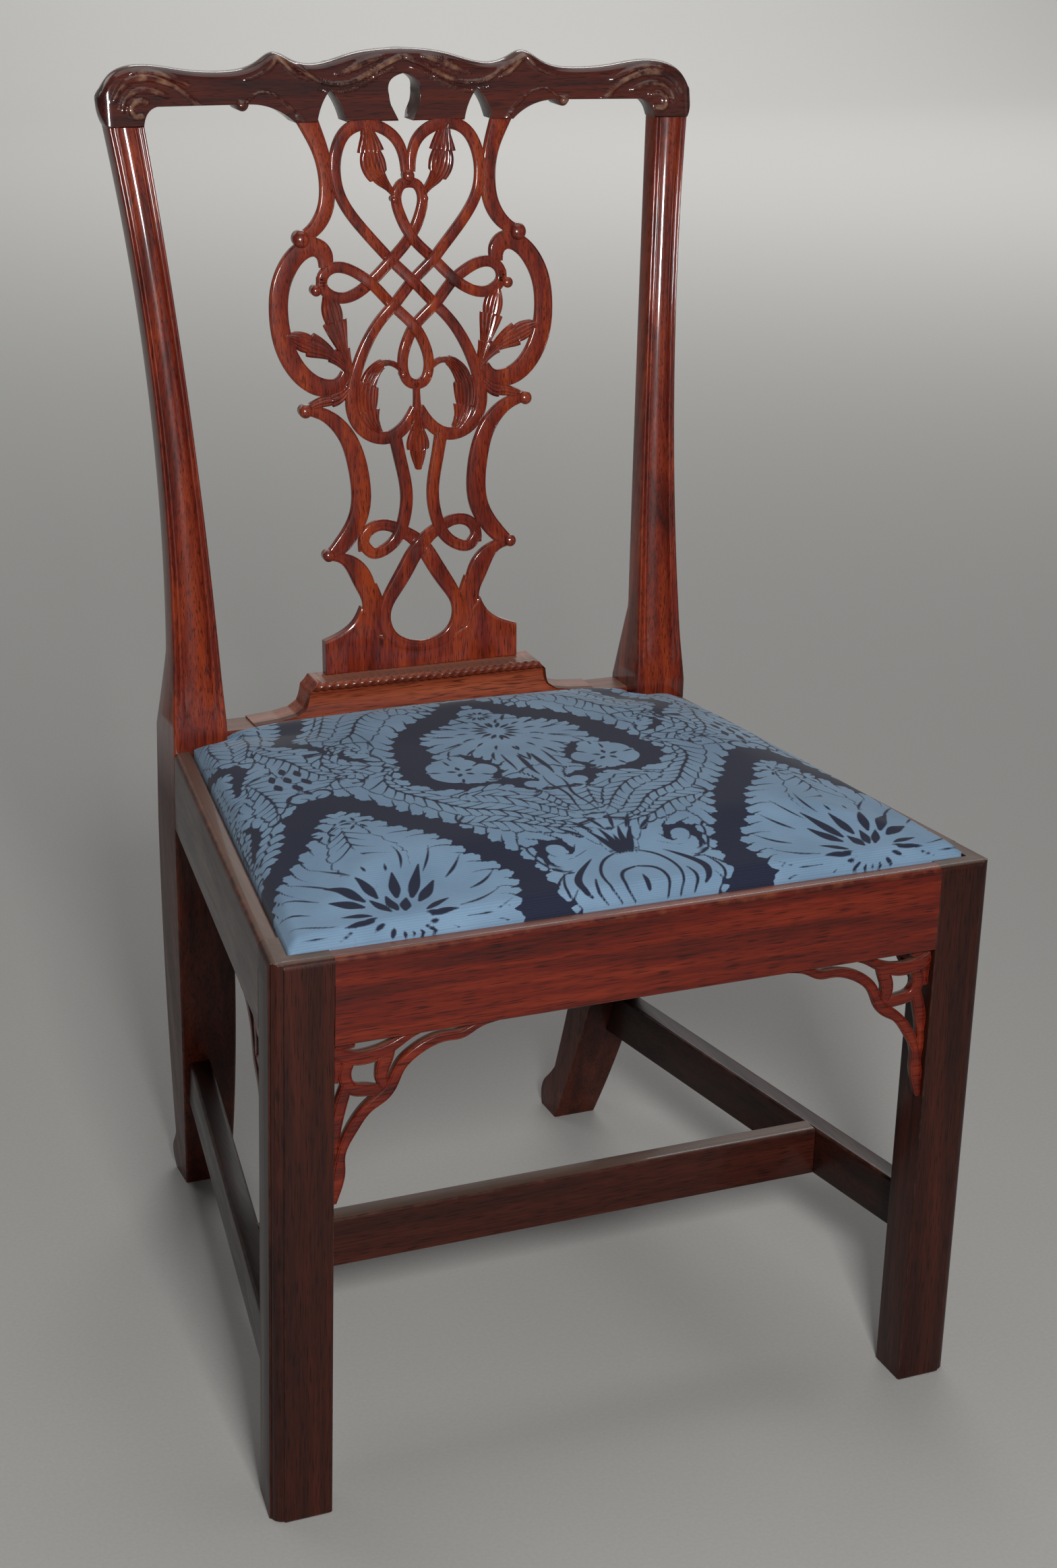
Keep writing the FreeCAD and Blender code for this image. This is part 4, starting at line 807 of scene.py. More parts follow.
crest_strokes = [
    [(3, 48, 5, 1.2), (16, 43, 5, 1.6), (34, 34, 4.5, 1.6), (52, 29, 4, 1.5), (70, 31, 4, 1.5),
     (86, 40, 4, 1.6), (100, 49, 5, 1.4)],
    [(8, 40, 3, 0.8), (22, 35, 3, 0.9), (38, 27, 3, 0.9), (56, 23, 2.5, 0.8), (72, 25, 2, 0.6)],
    [(18, 49, 4, 1.0), (34, 44, 6, 1.5), (46, 39, 5, 1.3), (56, 36, 3, 0.8)],
    [(104, 50, 5, 1.6), (97, 43, 4.5, 1.5), (90, 37, 4, 1.4), (82, 33, 3, 1.0)],
    [(106, 48, 4, 1.2), (112, 41, 4, 1.2), (121, 36, 3, 1.0), (132, 33, 2, 0.6)],
    [(135, 14.5, 7, 2.6), (136, 14.6, 7, 2.6), (137, 14.7, 6, 2.4)],
    [(130, 18, 2.6, 1.1), (122, 23, 2.4, 1.1), (110, 22, 2.2, 1.1), (98, 14, 2.2, 1.1), (88, 3, 2.2, 1.1),
     (84, -2, 2, 1)],
    [(170, 14, 5, 2.2), (175, 18, 4.5, 1.8), (184, 26, 4, 1.6), (198, 33, 5, 1.8), (214, 36, 6, 1.8),
     (230, 31, 5, 1.6), (238, 20, 4, 1.2)],
    [(178, 30, 3, 1.0), (192, 36, 4, 1.3), (206, 40, 4, 1.3), (222, 40, 4, 1.0)],
    [(196, 22, 4, 1.2), (206, 26, 5, 1.5), (217, 27, 5, 1.5), (228, 22, 4, 1.2), (232, 13, 4, 1.2)],
    [(212, 18, 4, 1.2), (220, 19, 5, 1.5), (225, 14, 5, 1.5), (222, 8, 5, 1.6), (216, 8, 4, 1.4)],
]


def crest_relief(x, rise):
    """Relief of the whole carving: the highest stroke at each place."""
    return np.max([ridge(x, rise, stroke) for stroke in crest_strokes], axis=0)


FACE_ROWS = 44
TOP_ROUND = 7.0
BACK_ROUND = 13.0
END_ROUND = 9.0
CREST_END = 249.0


def rounding(edge, radius):
    """How far a face falls back at a distance from its rounded edge."""
    return radius - np.sqrt(np.clip(radius ** 2 - np.clip(radius - edge, 0, None) ** 2, 0, None))


def crest_rings():
    """Rings of the crest: the carved face from below, over the rounded top and down the plain back."""
    tall = np.linalg.norm(upper_line - lower_line, axis=1)[:, None]
    v = np.linspace(0, 1, FACE_ROWS)[None, :]
    w = np.linspace(1, 0, 12)[None, :]
    face = lower_line[:, None] + (upper_line - lower_line)[:, None] * v[..., None]
    back = lower_line[:, None] + (upper_line - lower_line)[:, None] * w[..., None]
    slim = np.minimum(TOP_ROUND, tall * 0.4)
    deep = np.minimum(BACK_ROUND, tall * 0.5)
    fall = rounding(tall * (1 - v), slim) + rounding(tall * v, np.minimum(1.2, tall * 0.2))
    calm = np.clip(tall * v / 2, 0, 1) * np.clip(tall * (1 - v) / 5, 0, 1)
    fall = fall + rounding(CREST_END - np.abs(face[..., 0]), END_ROUND)
    depth = fall - crest_relief(face[..., 0], face[..., 1]) * calm
    rear = CREST_THICK - rounding(tall * (1 - w), deep) - rounding(tall * w, np.minimum(4.0, tall * 0.3))
    rear = rear - rounding(CREST_END - np.abs(back[..., 0]), END_ROUND)
    flat = np.concatenate([face, back], 1)
    y = crest_y(flat[..., 0], flat[..., 1]) + np.concatenate([depth, rear], 1)
    return np.stack([flat[..., 0], y, joint_height + flat[..., 1]], -1)


rings = crest_rings()
crest_wear = np.zeros(rings.shape[:2])
face = rings[:, :FACE_ROWS]
crest_wear[:, :FACE_ROWS] = np.clip(crest_relief(face[..., 0], face[..., 2] - joint_height) - 0.8, 0, 1)
crest_wear[:, [0, FACE_ROWS - 1]] = 0.4
add_piece("crest_rail", [skin(rings, crest_wear)], shaded_crest_wood)

# %% [markdown]
# ## Shoe
# The shoe is a moulding planted on the rear rail to hold the splat: a small nulled bead over a hollow, and
# ends that sweep down to nothing. Each lobe of the bead could be a piece of its own, but the nulling is an
# even repeat, so a slanted wave along the bead's length makes it.

# %% Shoe
SHOE_FRONT = 428.0
SHOE_BACK = 456.0
BEAD = 4.0
NULL_PITCH = 7.0
shoe_end_line = [(97, 32), (100, 28), (104, 24), (104.5, 17), (107, 10.5), (114, 5.7), (128, 3), (150, 1.5)]


def shoe_rings():
    """Rings along x: bead, fillet and hollow, clipped under the swept outline of the ends."""
    swept = np.linspace(97.2, 150, 60)
    x = np.concatenate([-swept[::-1], np.linspace(-97, 97, 260), swept])[:, None]
    top = np.interp(np.abs(x), *np.array([(0, 32)] + shoe_end_line).T)
    turn = np.linspace(np.pi / 2, 3 * np.pi / 2, 13)[None, :]
    null = 1 - 0.22 * np.abs(np.sin(np.pi * (x + 3 * turn) / NULL_PITCH))
    bead_y = SHOE_FRONT + BEAD + BEAD * null * np.cos(turn)
    bead_z = 32 - BEAD + BEAD * null * np.sin(turn)
    hollow = np.linspace(0, 1, 11)[None, :]
    hollow_y = np.broadcast_to(bowed(hollow, SHOE_FRONT + 6, SHOE_FRONT + 0.4, 4.0), (len(x), 11))
    hollow_z = np.broadcast_to(24 * (1 - hollow), (len(x), 11))
    rear_y = np.full((len(x), 2), SHOE_BACK)
    rear_z = np.broadcast_to([0.0, 32.0], (len(x), 2))
    y = np.concatenate([bead_y, hollow_y, rear_y], 1)
    z = np.minimum(np.concatenate([bead_z, hollow_z, rear_z], 1), top)
    return np.stack([np.broadcast_to(x, y.shape), y, rear_rail_top + z], -1)


rings = shoe_rings()
shoe_wear = np.zeros(rings.shape[1])
shoe_wear[2:10] = 0.7
add_piece("shoe", [skin(rings, shoe_wear)], shoe_wood)

# %% [markdown]
# ## Brackets
# Pierced brackets stiffen the corner between leg and rail. They are cut like the splat, so the same moulded
# strap section follows a few curves, drawn from the corner: along the rail, then down the leg.

# %% Brackets
BRACKET_THICK = 10.0
BRACKET_SETBACK = 4.0
BRACKET_WIDEN = 1.15
bracket_curves = [
    [(120, -1, 2), (104, -3, 5), (92, -8, 6), (84, -8, 6), (74, -9, 6.5), (60, -15, 7), (48, -26, 7),
     (41, -40, 7.5), (36, -45, 8), (27, -51, 7), (14, -67, 7), (6, -86, 6), (5, -97, 8), (3, -110, 7),
     (1.5, -121, 3)],
    [(0, -6, 8), (14, -13, 9), (30, -13, 9), (44, -8, 7), (56, -2, 5), (64, 0, 3)],
    [(42, -8, 6), (38, -18, 9), (35, -30, 8), (40, -42, 6)],
    [(14, -13, 7), (9, -24, 8), (14, -36, 8), (26, -39, 8), (38, -42, 6)],
    [(11, -32, 7), (5, -52, 8), (2.5, -72, 6), (3, -90, 4)],
    [(0, -4, 7), (4, -18, 7), (2, -30, 4)],
    [(0, -2, 6), (8, -3, 7), (16, -4, 3)],
]


def bracket_shells(place):
    """Straps of one bracket; place turns (along the rail, depth from the face, height) into (x, y, z)."""
    shells = []
    for number, points in enumerate(bracket_curves):
        curve = spline(points)
        side = frame_along(curve)
        across, depth, wear = strap_section(BRACKET_WIDEN * curve[:, 2])
        u = np.clip(curve[:, :1] + side[:, :1] * across, 0.05, None)
        v = np.minimum(curve[:, 1:2] + side[:, 1:2] * across, 0.0)
        deep = depth * (BRACKET_THICK / SPLAT_THICK) + 0.25 * number
        shells.append(skin(place(u, deep, v), wear))
    return shells


def front_place(u, deep, v):
    """Right-hand front bracket: out from the leg towards the middle."""
    return np.stack([inner_leg - u, BRACKET_SETBACK + deep, rail_bottom + v], -1)


def side_place(u, deep, v):
    """Right-hand side bracket: back from the leg along the slanted rail."""
    y = leg + u
    return np.stack([side_x(y, BRACKET_SETBACK + deep), y, rail_bottom + v], -1)


for name, place in (("front_bracket", front_place), ("side_bracket", side_place)):
    add_piece(name + "_right", bracket_shells(place), rail_wood)
    add_piece(name + "_left", bracket_shells(lambda *where: mirrored(place(*where))), rail_wood)

# %% [markdown]
# ## Seat
# The lift-out seat is a stuffed pad in a tight damask cover that wraps the frame and is tacked under it. A
# rounded box would have the same softness everywhere, but a stuffed edge rises fast and then slowly to the
# crown. So the cover starts as a grid over the seat's plan with that rise, a little low.

# %% Seat plan and crown
COVER_GAP = 1.5
CORNER_ROUND = 4.0
PAD_LOW = 434.0
CROWN_START = 20.0
GRID = (71, 91)
NOTCH_Y = 405.5
SEAT_MIDDLE = (0.0, 220.0)
HEM = 30.0


def seat_plan(rows, columns):
    """Plan of the cover in rows from front to back, and its distances from the edges."""
    front = lip + COVER_GAP
    rear = rear_wall - COVER_GAP
    y = np.linspace(front, rear, rows)[:, None]
    half = side_x(y, lip + COVER_GAP)
    x = half * np.linspace(-1, 1, columns)[None, :]
    end = np.minimum(y - front, rear - y)
    notch = np.clip(np.maximum(NOTCH_Y - y, post_inner - COVER_GAP - np.abs(x)), 0, None)
    return x, np.broadcast_to(y, x.shape), (half - np.abs(x), end, notch)


def swell(edge):
    """Share of the crown at a distance from the edge: steep for a few millimetres, then slow."""
    return 1 - 0.66 * np.exp(-edge / 4.5) - 0.34 * np.exp(-edge / 38)


def cover_top(rows, columns, crown):
    """Grid of the cover's top, (rows, columns, 3)."""
    x, y, edges = seat_plan(rows, columns)
    side, end, notch = [swell(edge) for edge in edges]
    return np.stack([x, y, PAD_LOW + crown * side * end * notch], -1)


def cover_skin(top):
    """Closed skin of the seat: top, sides down into the rebate, hem under the frame, back up to the pad."""
    rows, columns = top.shape[:2]
    index = np.arange(rows * columns).reshape(rows, columns)
    edge = np.concatenate([index[0, :-1], index[:-1, -1], index[-1, :0:-1], index[:0:-1, 0]])
    rim = top.reshape(-1, 3)[edge]
    inward = np.array([*SEAT_MIDDLE, 0.0]) - rim
    inward[:, 2] = 0
    inward /= np.linalg.norm(inward, axis=1, keepdims=True)
    steps = [(0.0, 426), (0.2, 415), (1.2, ledge + 0.2), (HEM, ledge + 0.2), (HEM, ledge + 0.8),
             (3.0, ledge + 0.8), (2.6, PAD_LOW + 0.2), (9, PAD_LOW + 0.3)]
    loops = np.stack([np.c_[(rim + inward * reach)[:, :2], np.full(len(rim), z)] for reach, z in steps])
    count = len(edge)
    ids = np.concatenate([edge[None], rows * columns + np.arange(len(steps) * count).reshape(-1, count)])
    ahead = np.roll(ids, -1, 1)
    top_quads = np.stack([index[:-1, :-1], index[:-1, 1:], index[1:, 1:], index[1:, :-1]], -1).reshape(-1, 4)
    side_quads = np.stack([ahead[:-1], ids[:-1], ids[1:], ahead[1:]], -1).reshape(-1, 4)
    points = np.concatenate([top.reshape(-1, 3), loops.reshape(-1, 3)])
    return points, top_quads.tolist() + side_quads.tolist() + [ids[-1, ::-1].tolist()]


# %% [markdown]
# A cloth simulation with air pressure inside fills the pad, with its edge held as the tacks hold it. Each
# point may move only a few millimetres, and the moves are evened. The filled grid is then divided finely,
# because the pattern is stored on its points, and its rear corners are drawn in between the posts.

# %% Filling the pad
PRESSURE = 4.0
MOST_MOVE = 7.0
SIM_FRAMES = 20
EVEN_TIMES = 6


def filled(top):
    """The grid after a cloth simulation with pressure inside.

    Its rim is held, its moves are capped, and each is evened with its neighbours.
    """
    points, faces = cover_skin(top)
    mesh = bpy.data.meshes.new("pad_trial")
    mesh.from_pydata(((points + (0, front_face, 0)) * MM).tolist(), [], faces)
    trial = bpy.data.objects.new("pad_trial", mesh)
    bpy.context.scene.collection.objects.link(trial)
    rows, columns = top.shape[:2]
    inside = np.zeros((rows, columns), bool)
    inside[1:-1, 1:-1] = True
    held = np.setdiff1d(np.arange(len(points)), np.flatnonzero(inside.ravel()))
    pins = trial.vertex_groups.new(name="held")
    pins.add(held.tolist(), 1.0, "REPLACE")
    cloth = trial.modifiers.new("Cloth", "CLOTH")
    cloth.settings.vertex_group_mass = "held"
    cloth.settings.use_pressure = True
    cloth.settings.uniform_pressure_force = PRESSURE
    cloth.settings.effector_weights.gravity = 0
    cloth.settings.quality = 6
    cloth.collision_settings.use_collision = False
    scene = bpy.context.scene
    for number in range(1, SIM_FRAMES + 1):
        scene.frame_set(number)
    shaped = trial.evaluated_get(bpy.context.evaluated_depsgraph_get())
    places = np.empty(len(points) * 3, np.float32)
    shaped.data.vertices.foreach_get("co", places)
    bpy.data.objects.remove(trial)
    scene.frame_set(1)
    result = places.reshape(-1, 3)[:rows * columns].reshape(top.shape) / MM - (0, front_face, 0)
    move = result - top
    size = np.linalg.norm(move, axis=-1, keepdims=True)
    print("pad swells by", round(float(size.max()), 2), "mm before the cap")
    move = move * np.minimum(1, MOST_MOVE / np.maximum(size, 1e-9))
    for _ in range(EVEN_TIMES):
        beside_it = move[:-2, 1:-1] + move[2:, 1:-1] + move[1:-1, :-2] + move[1:-1, 2:]
        move[1:-1, 1:-1] = (move[1:-1, 1:-1] + beside_it) / 5
    return top + move


def finer(count, times):
    """Matrix that divides each span of a row of points into times parts on a smooth curve."""
    at = np.linspace(0, count - 1, (count - 1) * times + 1)
    k = np.clip(at.astype(int), 0, count - 2)
    t = at - k
    weights = np.stack([-t + 2 * t ** 2 - t ** 3, 2 - 5 * t ** 2 + 3 * t ** 3, t + 4 * t ** 2 - 3 * t ** 3,
                        t ** 3 - t ** 2], -1) / 2
    matrix = np.zeros((len(at), count))
    for offset in range(4):
        np.add.at(matrix, (np.arange(len(at)), np.clip(k - 1 + offset, 0, count - 1)), weights[:, offset])
    return matrix


def trimmed(grid):
    """The divided grid with rounded corners and its rear rows drawn in between the posts.

    A row is drawn in by sliding its points along it, and their heights are read from the row as it was.
    """
    front, rear = grid[0, 0, 1], grid[-1, 0, 1]
    last = np.flatnonzero(grid[:, 0, 1] <= NOTCH_Y)[-1]
    grid[last, :, 1] += NOTCH_Y - grid[last, 0, 1]
    for number, row in enumerate(grid):
        x, y, z = row.T
        near = np.clip(CORNER_ROUND - min(y[0] - front, rear - y[0]), 0, CORNER_ROUND)
        half = x[-1] if number <= last else post_inner - COVER_GAP
        drawn = x / x[-1] * (half - CORNER_ROUND + np.sqrt(CORNER_ROUND ** 2 - near ** 2))
        grid[number] = np.c_[drawn, np.interp(drawn, x, y), np.interp(drawn, x, z)]
    return grid


pad = cover_top(*GRID, CROWN_START)
pad = filled(pad)
FINER = 5
cover_grid = trimmed(np.einsum("ai,bj,ijk->abk", finer(GRID[0], FINER), finer(GRID[1], FINER), pad))
print("seat cover grid", cover_grid.shape, "top", round(float(cover_grid[..., 2].max()), 1))

# %% [markdown]
# The damask is a traditional large ogee, pale blue on navy: a flower in the middle, leafy scrolls round it, a
# fan of petals in each front corner and a palmette between them. A picture could carry it, but curves stay
# sharp at any size. It is drawn the way a weaver's draft is, as the navy ground that is left open: broad
# bands of ground run between leafy edges, and narrow ribs with side veins part the leaves. A point of a band
# is (distance from the middle, y, width).

# %% Damask ground
PATTERN_AXIS = 6.0
LEAF_REACH = 34.0
LEAF_SPACING = 1.5
WIDEN = 1.28


def beside(u, y, points, reach, spacing):
    """Places within reach of a curve: numbers, distance, side, run along it and half its width there."""
    curve = spline(points, spacing)
    low = curve[:, :2].min(0) - reach
    high = curve[:, :2].max(0) + reach
    spot = np.flatnonzero((u > low[0]) & (u < high[0]) & (y > low[1]) & (y < high[1]))
    best = np.full(len(spot), np.inf)
    near = np.zeros(len(spot), int)
    for number, place in enumerate(curve):
        away = np.hypot(u[spot] - place[0], y[spot] - place[1])
        closer = away < best
        best[closer] = away[closer]
        near[closer] = number
    across = frame_along(curve)[near]
    gap_u = u[spot] - curve[near, 0]
    gap_y = y[spot] - curve[near, 1]
    side = np.sign(gap_u * across[:, 0] + gap_y * across[:, 1])
    ahead = gap_u * across[:, 1] - gap_y * across[:, 0]
    step = np.hypot(*np.diff(curve[:, :2], axis=0).T).mean()
    return spot, best, side, near * step + ahead, curve[near, 2] / 2


def leaf_band(u, y, points, lobe, deep, cleft, line):
    """Ground between leafy edges: near places, how far inside the ground and the veins, way out of the leaf.

    Round lobes, each notched, reach into the ground. Veins between them bend forward into the leaf behind.
    """
    spot, away, side, run, half = beside(u, y, points, LEAF_REACH, LEAF_SPACING)
    half = half * WIDEN
    run = run + 0.2 * lobe * np.sin(run / (0.9 * lobe) + 2 * side)
    shift = np.where(side > 0, 0.0, 0.5)
    deep = np.minimum(deep, half * 0.7)
    turn = np.pi * (run / lobe + shift)
    edge = half + deep * (0.5 - np.abs(np.sin(turn)) ** 0.6)
    edge = edge + 0.3 * deep * (0.5 - np.abs(np.sin(2.5 * turn)) ** 0.6)
    out = np.clip(away - half, 0, None)
    slot = (run + out * (1.1 - 0.5 * out / cleft)) / lobe + shift
    length = cleft * (0.8 + 0.4 * np.sin(2.4 * np.round(slot) + side))
    vein = line / 2 * (1 - out / length) - np.abs(slot - np.round(slot)) * lobe
    vein = np.where(out < length, np.minimum(vein, 2.0), -9.0)
    rim = out - 4.0 * np.abs(np.sin(np.pi * slot)) ** 0.6
    return spot, edge - away, vein, rim


GROUNDS = [
    [(-20, 370, 20), (0, 380, 20), (22, 357, 22), (42, 336, 24), (68, 311, 22), (79, 284, 25), (87, 254, 28),
     (94, 228, 22), (87, 206, 21), (62, 196, 10), (40, 194, 9), (25, 190, 22), (22, 178, 10)],
    [(285, 66, 28), (264, 92, 26), (240, 116, 20), (221, 143, 19), (206, 168, 21), (193, 189, 28),
     (176, 197, 31), (157, 184, 26), (140, 158, 24), (121, 134, 24), (109, 110, 25), (93, 84, 22),
     (82, 58, 21), (79, 30, 27), (81, 6, 34), (81, -30, 36)],
    [(126, 430, 20), (140, 390, 19), (152, 362, 18), (160, 336, 16), (150, 318, 11), (143, 300, 5)],
]
POCKETS = [
    [(46, 258, 5), (37, 240, 13), (34, 222, 10), (40, 204, 7)],
    [(244, 346, 14), (228, 328, 13), (207, 314, 13), (216, 290, 9), (222, 268, 5)],
    [(62, 62, 5), (57, 80, 9), (45, 82, 9), (40, 70, 5)],
    [(238, 212, 3), (232, 196, 8), (236, 176, 9), (246, 156, 3)],
    [(114, 268, 3), (124, 274, 8), (132, 286, 7), (128, 298, 3)],
]
RIBS = [
    [(20, 104, 1.4), (58, 138, 2.6), (90, 163, 2.8), (112, 190, 2.8), (120, 218, 2.4), (116, 240, 1.8),
     (106, 250, 1)],
    [(12, 120, 1.4), (34, 150, 2.2), (54, 170, 2), (70, 178, 1)],
    [(12, 92, 1.4), (44, 108, 2.2), (76, 124, 2), (96, 130, 1)],
    [(9, 128, 1.4), (15, 152, 2), (17, 170, 1)],
    [(120, 252, 1), (146, 262, 2.2), (150, 286, 2.4), (134, 306, 2), (116, 300, 1)],
    [(150, 236, 1), (168, 276, 2.4), (178, 306, 2.4), (184, 336, 1)],
    [(132, 316, 1), (112, 330, 2.4), (98, 352, 2.4), (82, 376, 2.2), (58, 398, 1)],
    [(136, 336, 1), (126, 356, 2.2), (118, 380, 2), (106, 408, 1)],
    [(34, 366, 1), (50, 382, 2.2), (58, 408, 1)],
    [(14, 396, 1), (24, 404, 2), (28, 424, 1)],
    [(258, 130, 1), (252, 162, 2.4), (250, 196, 2.4), (240, 226, 2.2), (222, 250, 1)],
    [(214, 196, 1), (208, 222, 2.4), (206, 250, 2.2), (212, 276, 1)],
    [(196, 326, 1), (188, 352, 2.4), (180, 380, 2.2), (172, 410, 1)],
    [(214, 340, 1), (212, 366, 2.2), (204, 396, 1)],
    [(252, 240, 1), (244, 268, 2.2), (236, 296, 1)],
    [(170, 226, 1), (156, 240, 2.2), (140, 246, 1)],
    [(183, 112, 1), (183, 132, 2.2), (183, 150, 1)],
]

# %% [markdown]
# Petals, stems and small fillings are brush strokes in navy, most of them rays round a point. Every stroke
# and band is a distance to a curve, so the finish can draw a sharp edge where the distance passes zero.

# %% Damask drawing
ROSE = (59, 226)
ROSE_RADIUS = 27.0
BOSS_RADIUS = 7.0
WAVER = 1.6
STROKE_REACH = 8.0
STROKE_SPACING = 0.7


def rays(at, inner, outer, angles, width, bend=0.0):
    """Strokes that run out from a point at angles in degrees, tapering and bending."""
    share = np.array([0.0, 0.35, 0.7, 1.0])[:, None]
    reach = outer - inner
    lines = []
    for angle in np.radians(angles):
        way = np.array([np.sin(angle), np.cos(angle)])
        side = np.array([way[1], -way[0]])
        line = np.array(at) + way * (inner + reach * share) + side * bend * reach * share ** 2
        lines.append(np.c_[line, width * np.array([0.35, 1.0, 0.7, 0.2])])
    return lines


FLOWER = rays((0, 338), 4, 11, range(0, 181, 36), 3.0) + rays((0, 300), 9, 20, range(0, 181, 24), 3.6)
FLOWER += rays((0, 292), 26, 36, range(12, 181, 28), 2.6, 0.2)
FLOWER += rays((0, 288), 38, 56, range(20, 181, 26), 2.6, 0.2)
FLOWER += [[(5, 246, 1.5), (7, 232, 4.2), (8, 216, 3.6), (5, 202, 1)],
           [(15, 250, 1), (18, 232, 2.2), (20, 216, 1)],
           [(4, 198, 1), (5, 180, 1.8), (4, 158, 2.4), (5, 136, 1.8), (4, 118, 1)]]
ROSES = rays(ROSE, 4, 11, range(0, 360, 72), 3.6) + rays(ROSE, 15, 26, range(13, 373, 72), 2.4)
FAN = rays((183, 22), 30, 66, (-33, 33), 8.0, 0.1) + rays((183, 26), 24, 50, (-52, -16, 16, 52), 8.0, 0.1)
FAN += rays((183, 24), 10, 26, (-28, 0, 28), 7.0) + rays((183, 22), 20, 40, (-88, -70, 70, 88), 5.0)
FAN += rays((183, 20), 62, 92, (-66, -50, -34, -18, 18, 34, 50, 66), 2.2, 0.2)
FAN += rays((183, 14), 44, 84, (-86, -74, 74, 86), 1.8, 0.15)
FAN += rays((183, 30), 17, 31, range(104, 260, 19), 3.0) + rays((183, 34), 40, 56, range(112, 256, 24), 1.8)
FAN += rays((183, 40), 96, 116, (-60, -40, 40, 60), 2.2, -0.3) + rays((183, 24), 54, 62, (-8, 8), 2.4)
FAN += rays((170, 154), 4, 12, range(0, 360, 72), 2.6) + rays((196, 152), 4, 12, range(0, 360, 72), 2.6)
PALMETTE = rays((0, 54), 8, 38, (0, 14, 28), 5.4) + rays((0, 48), 42, 66, (7, 20, 34), 3.0)
PALMETTE += [[(13, 4, 1.6), (17, 26, 2.2), (10, 40, 2.2), (0, 44, 1.8)],
             [(24, 4, 1.6), (28, 32, 2.2), (18, 54, 2.2), (6, 62, 1)],
             [(44, 14, 2), (47, 34, 6), (37, 48, 4), (28, 56, 1)], [(0, 18, 6), (0, 26, 6), (0, 33, 2)],
             [(56, 8, 1.4), (59, 28, 2.2), (54, 46, 1.4)], [(36, 6, 1.4), (38, 20, 2.4), (34, 32, 1.4)]]
DIAPER = [[(column, row - 7, 1), (column, row, 6), (column, row + 7, 1)] for column, row in
          ((184, 240), (184, 258), (184, 276), (174, 249), (194, 249), (174, 267), (194, 267))]
CURLS = [[(184, 226, 1), (190, 228, 2.4), (199, 219, 2.6), (190, 210, 2.4), (185, 214, 1.8), (190, 219, 1)],
         [(180, 226, 1), (174, 228, 2.4), (165, 219, 2.6), (174, 210, 2.4), (179, 214, 1.8), (174, 219, 1)]]
BOSSES = ((17, 185), (50, 74), (190, 218), (174, 219))


def damask(x, y):
    """Signed distance inside the pale figure at plan places x, y, the same on both sides of the middle.

    Each place belongs to the nearest leaf, which draws its veins there. A thin line parts it from the next.
    """
    u = np.abs(x - PATTERN_AXIS)
    u, y = u + WAVER * np.sin(y / 11 + u / 29), y + WAVER * np.sin(u / 9 + y / 31)
    leaves = [leaf_band(u, y, points, lobe=14.0, deep=8.0, cleft=16.0, line=2.4) for points in GROUNDS]
    leaves += [leaf_band(u, y, points, lobe=10.0, deep=5.0, cleft=9.0, line=2.2) for points in POCKETS]
    leaves += [leaf_band(u, y, points, lobe=10.0, deep=5.0, cleft=20.0, line=2.2) for points in RIBS]
    dark = np.full(len(u), -6.0)
    first = np.full(len(u), 60.0)
    second = np.full(len(u), 90.0)
    for spot, ground, _, rim in leaves:
        dark[spot] = np.maximum(dark[spot], ground)
        second[spot] = np.minimum(second[spot], np.maximum(first[spot], rim))
        first[spot] = np.minimum(first[spot], rim)
    for spot, _, vein, rim in leaves:
        own = (rim <= first[spot]) & (second[spot] - rim > 1.5)
        dark[spot] = np.where(own, np.maximum(dark[spot], vein), dark[spot])
    dark = np.maximum(dark, 0.9 - (second - first) / 2 - 0.02 * np.clip(first, 0, None))
    angle = np.arctan2(u - ROSE[0], y - ROSE[1]) + 0.4
    petals = ROSE_RADIUS * (0.75 + 0.25 * np.abs(np.cos(2.5 * angle)) ** 0.6)
    rose = petals - np.hypot(u - ROSE[0], y - ROSE[1])
    figure = np.maximum(-dark, np.minimum(rose, 6))
    for boss in BOSSES:
        figure = np.maximum(figure, BOSS_RADIUS - np.hypot(u - boss[0], y - boss[1]))
    for points in FLOWER + ROSES + FAN + PALMETTE + DIAPER + CURLS:
        spot, away, _, _, half = beside(u, y, points, STROKE_REACH, STROKE_SPACING)
        figure[spot] = np.minimum(figure[spot], away - half)
    return figure


# %% [markdown]
# Damask is one silk and cotton weave in two faces: the figure is a satin of pale blue that shines a little,
# and the ground is a matt navy. Real threads are under half a millimetre, so the weave is drawn coarser, and
# faint. It follows the cover as laid flat, so that it doesn't smear on the steep edges.

# %% Damask finish and seat cover
THREAD_MM = 1.1
EDGE_FALL = 8.0


def thread_scale(thread_mm):
    """Wave scale for which a thread and the gap beside it are each about thread_mm wide."""
    return per_metre(thread_mm) / 6.28


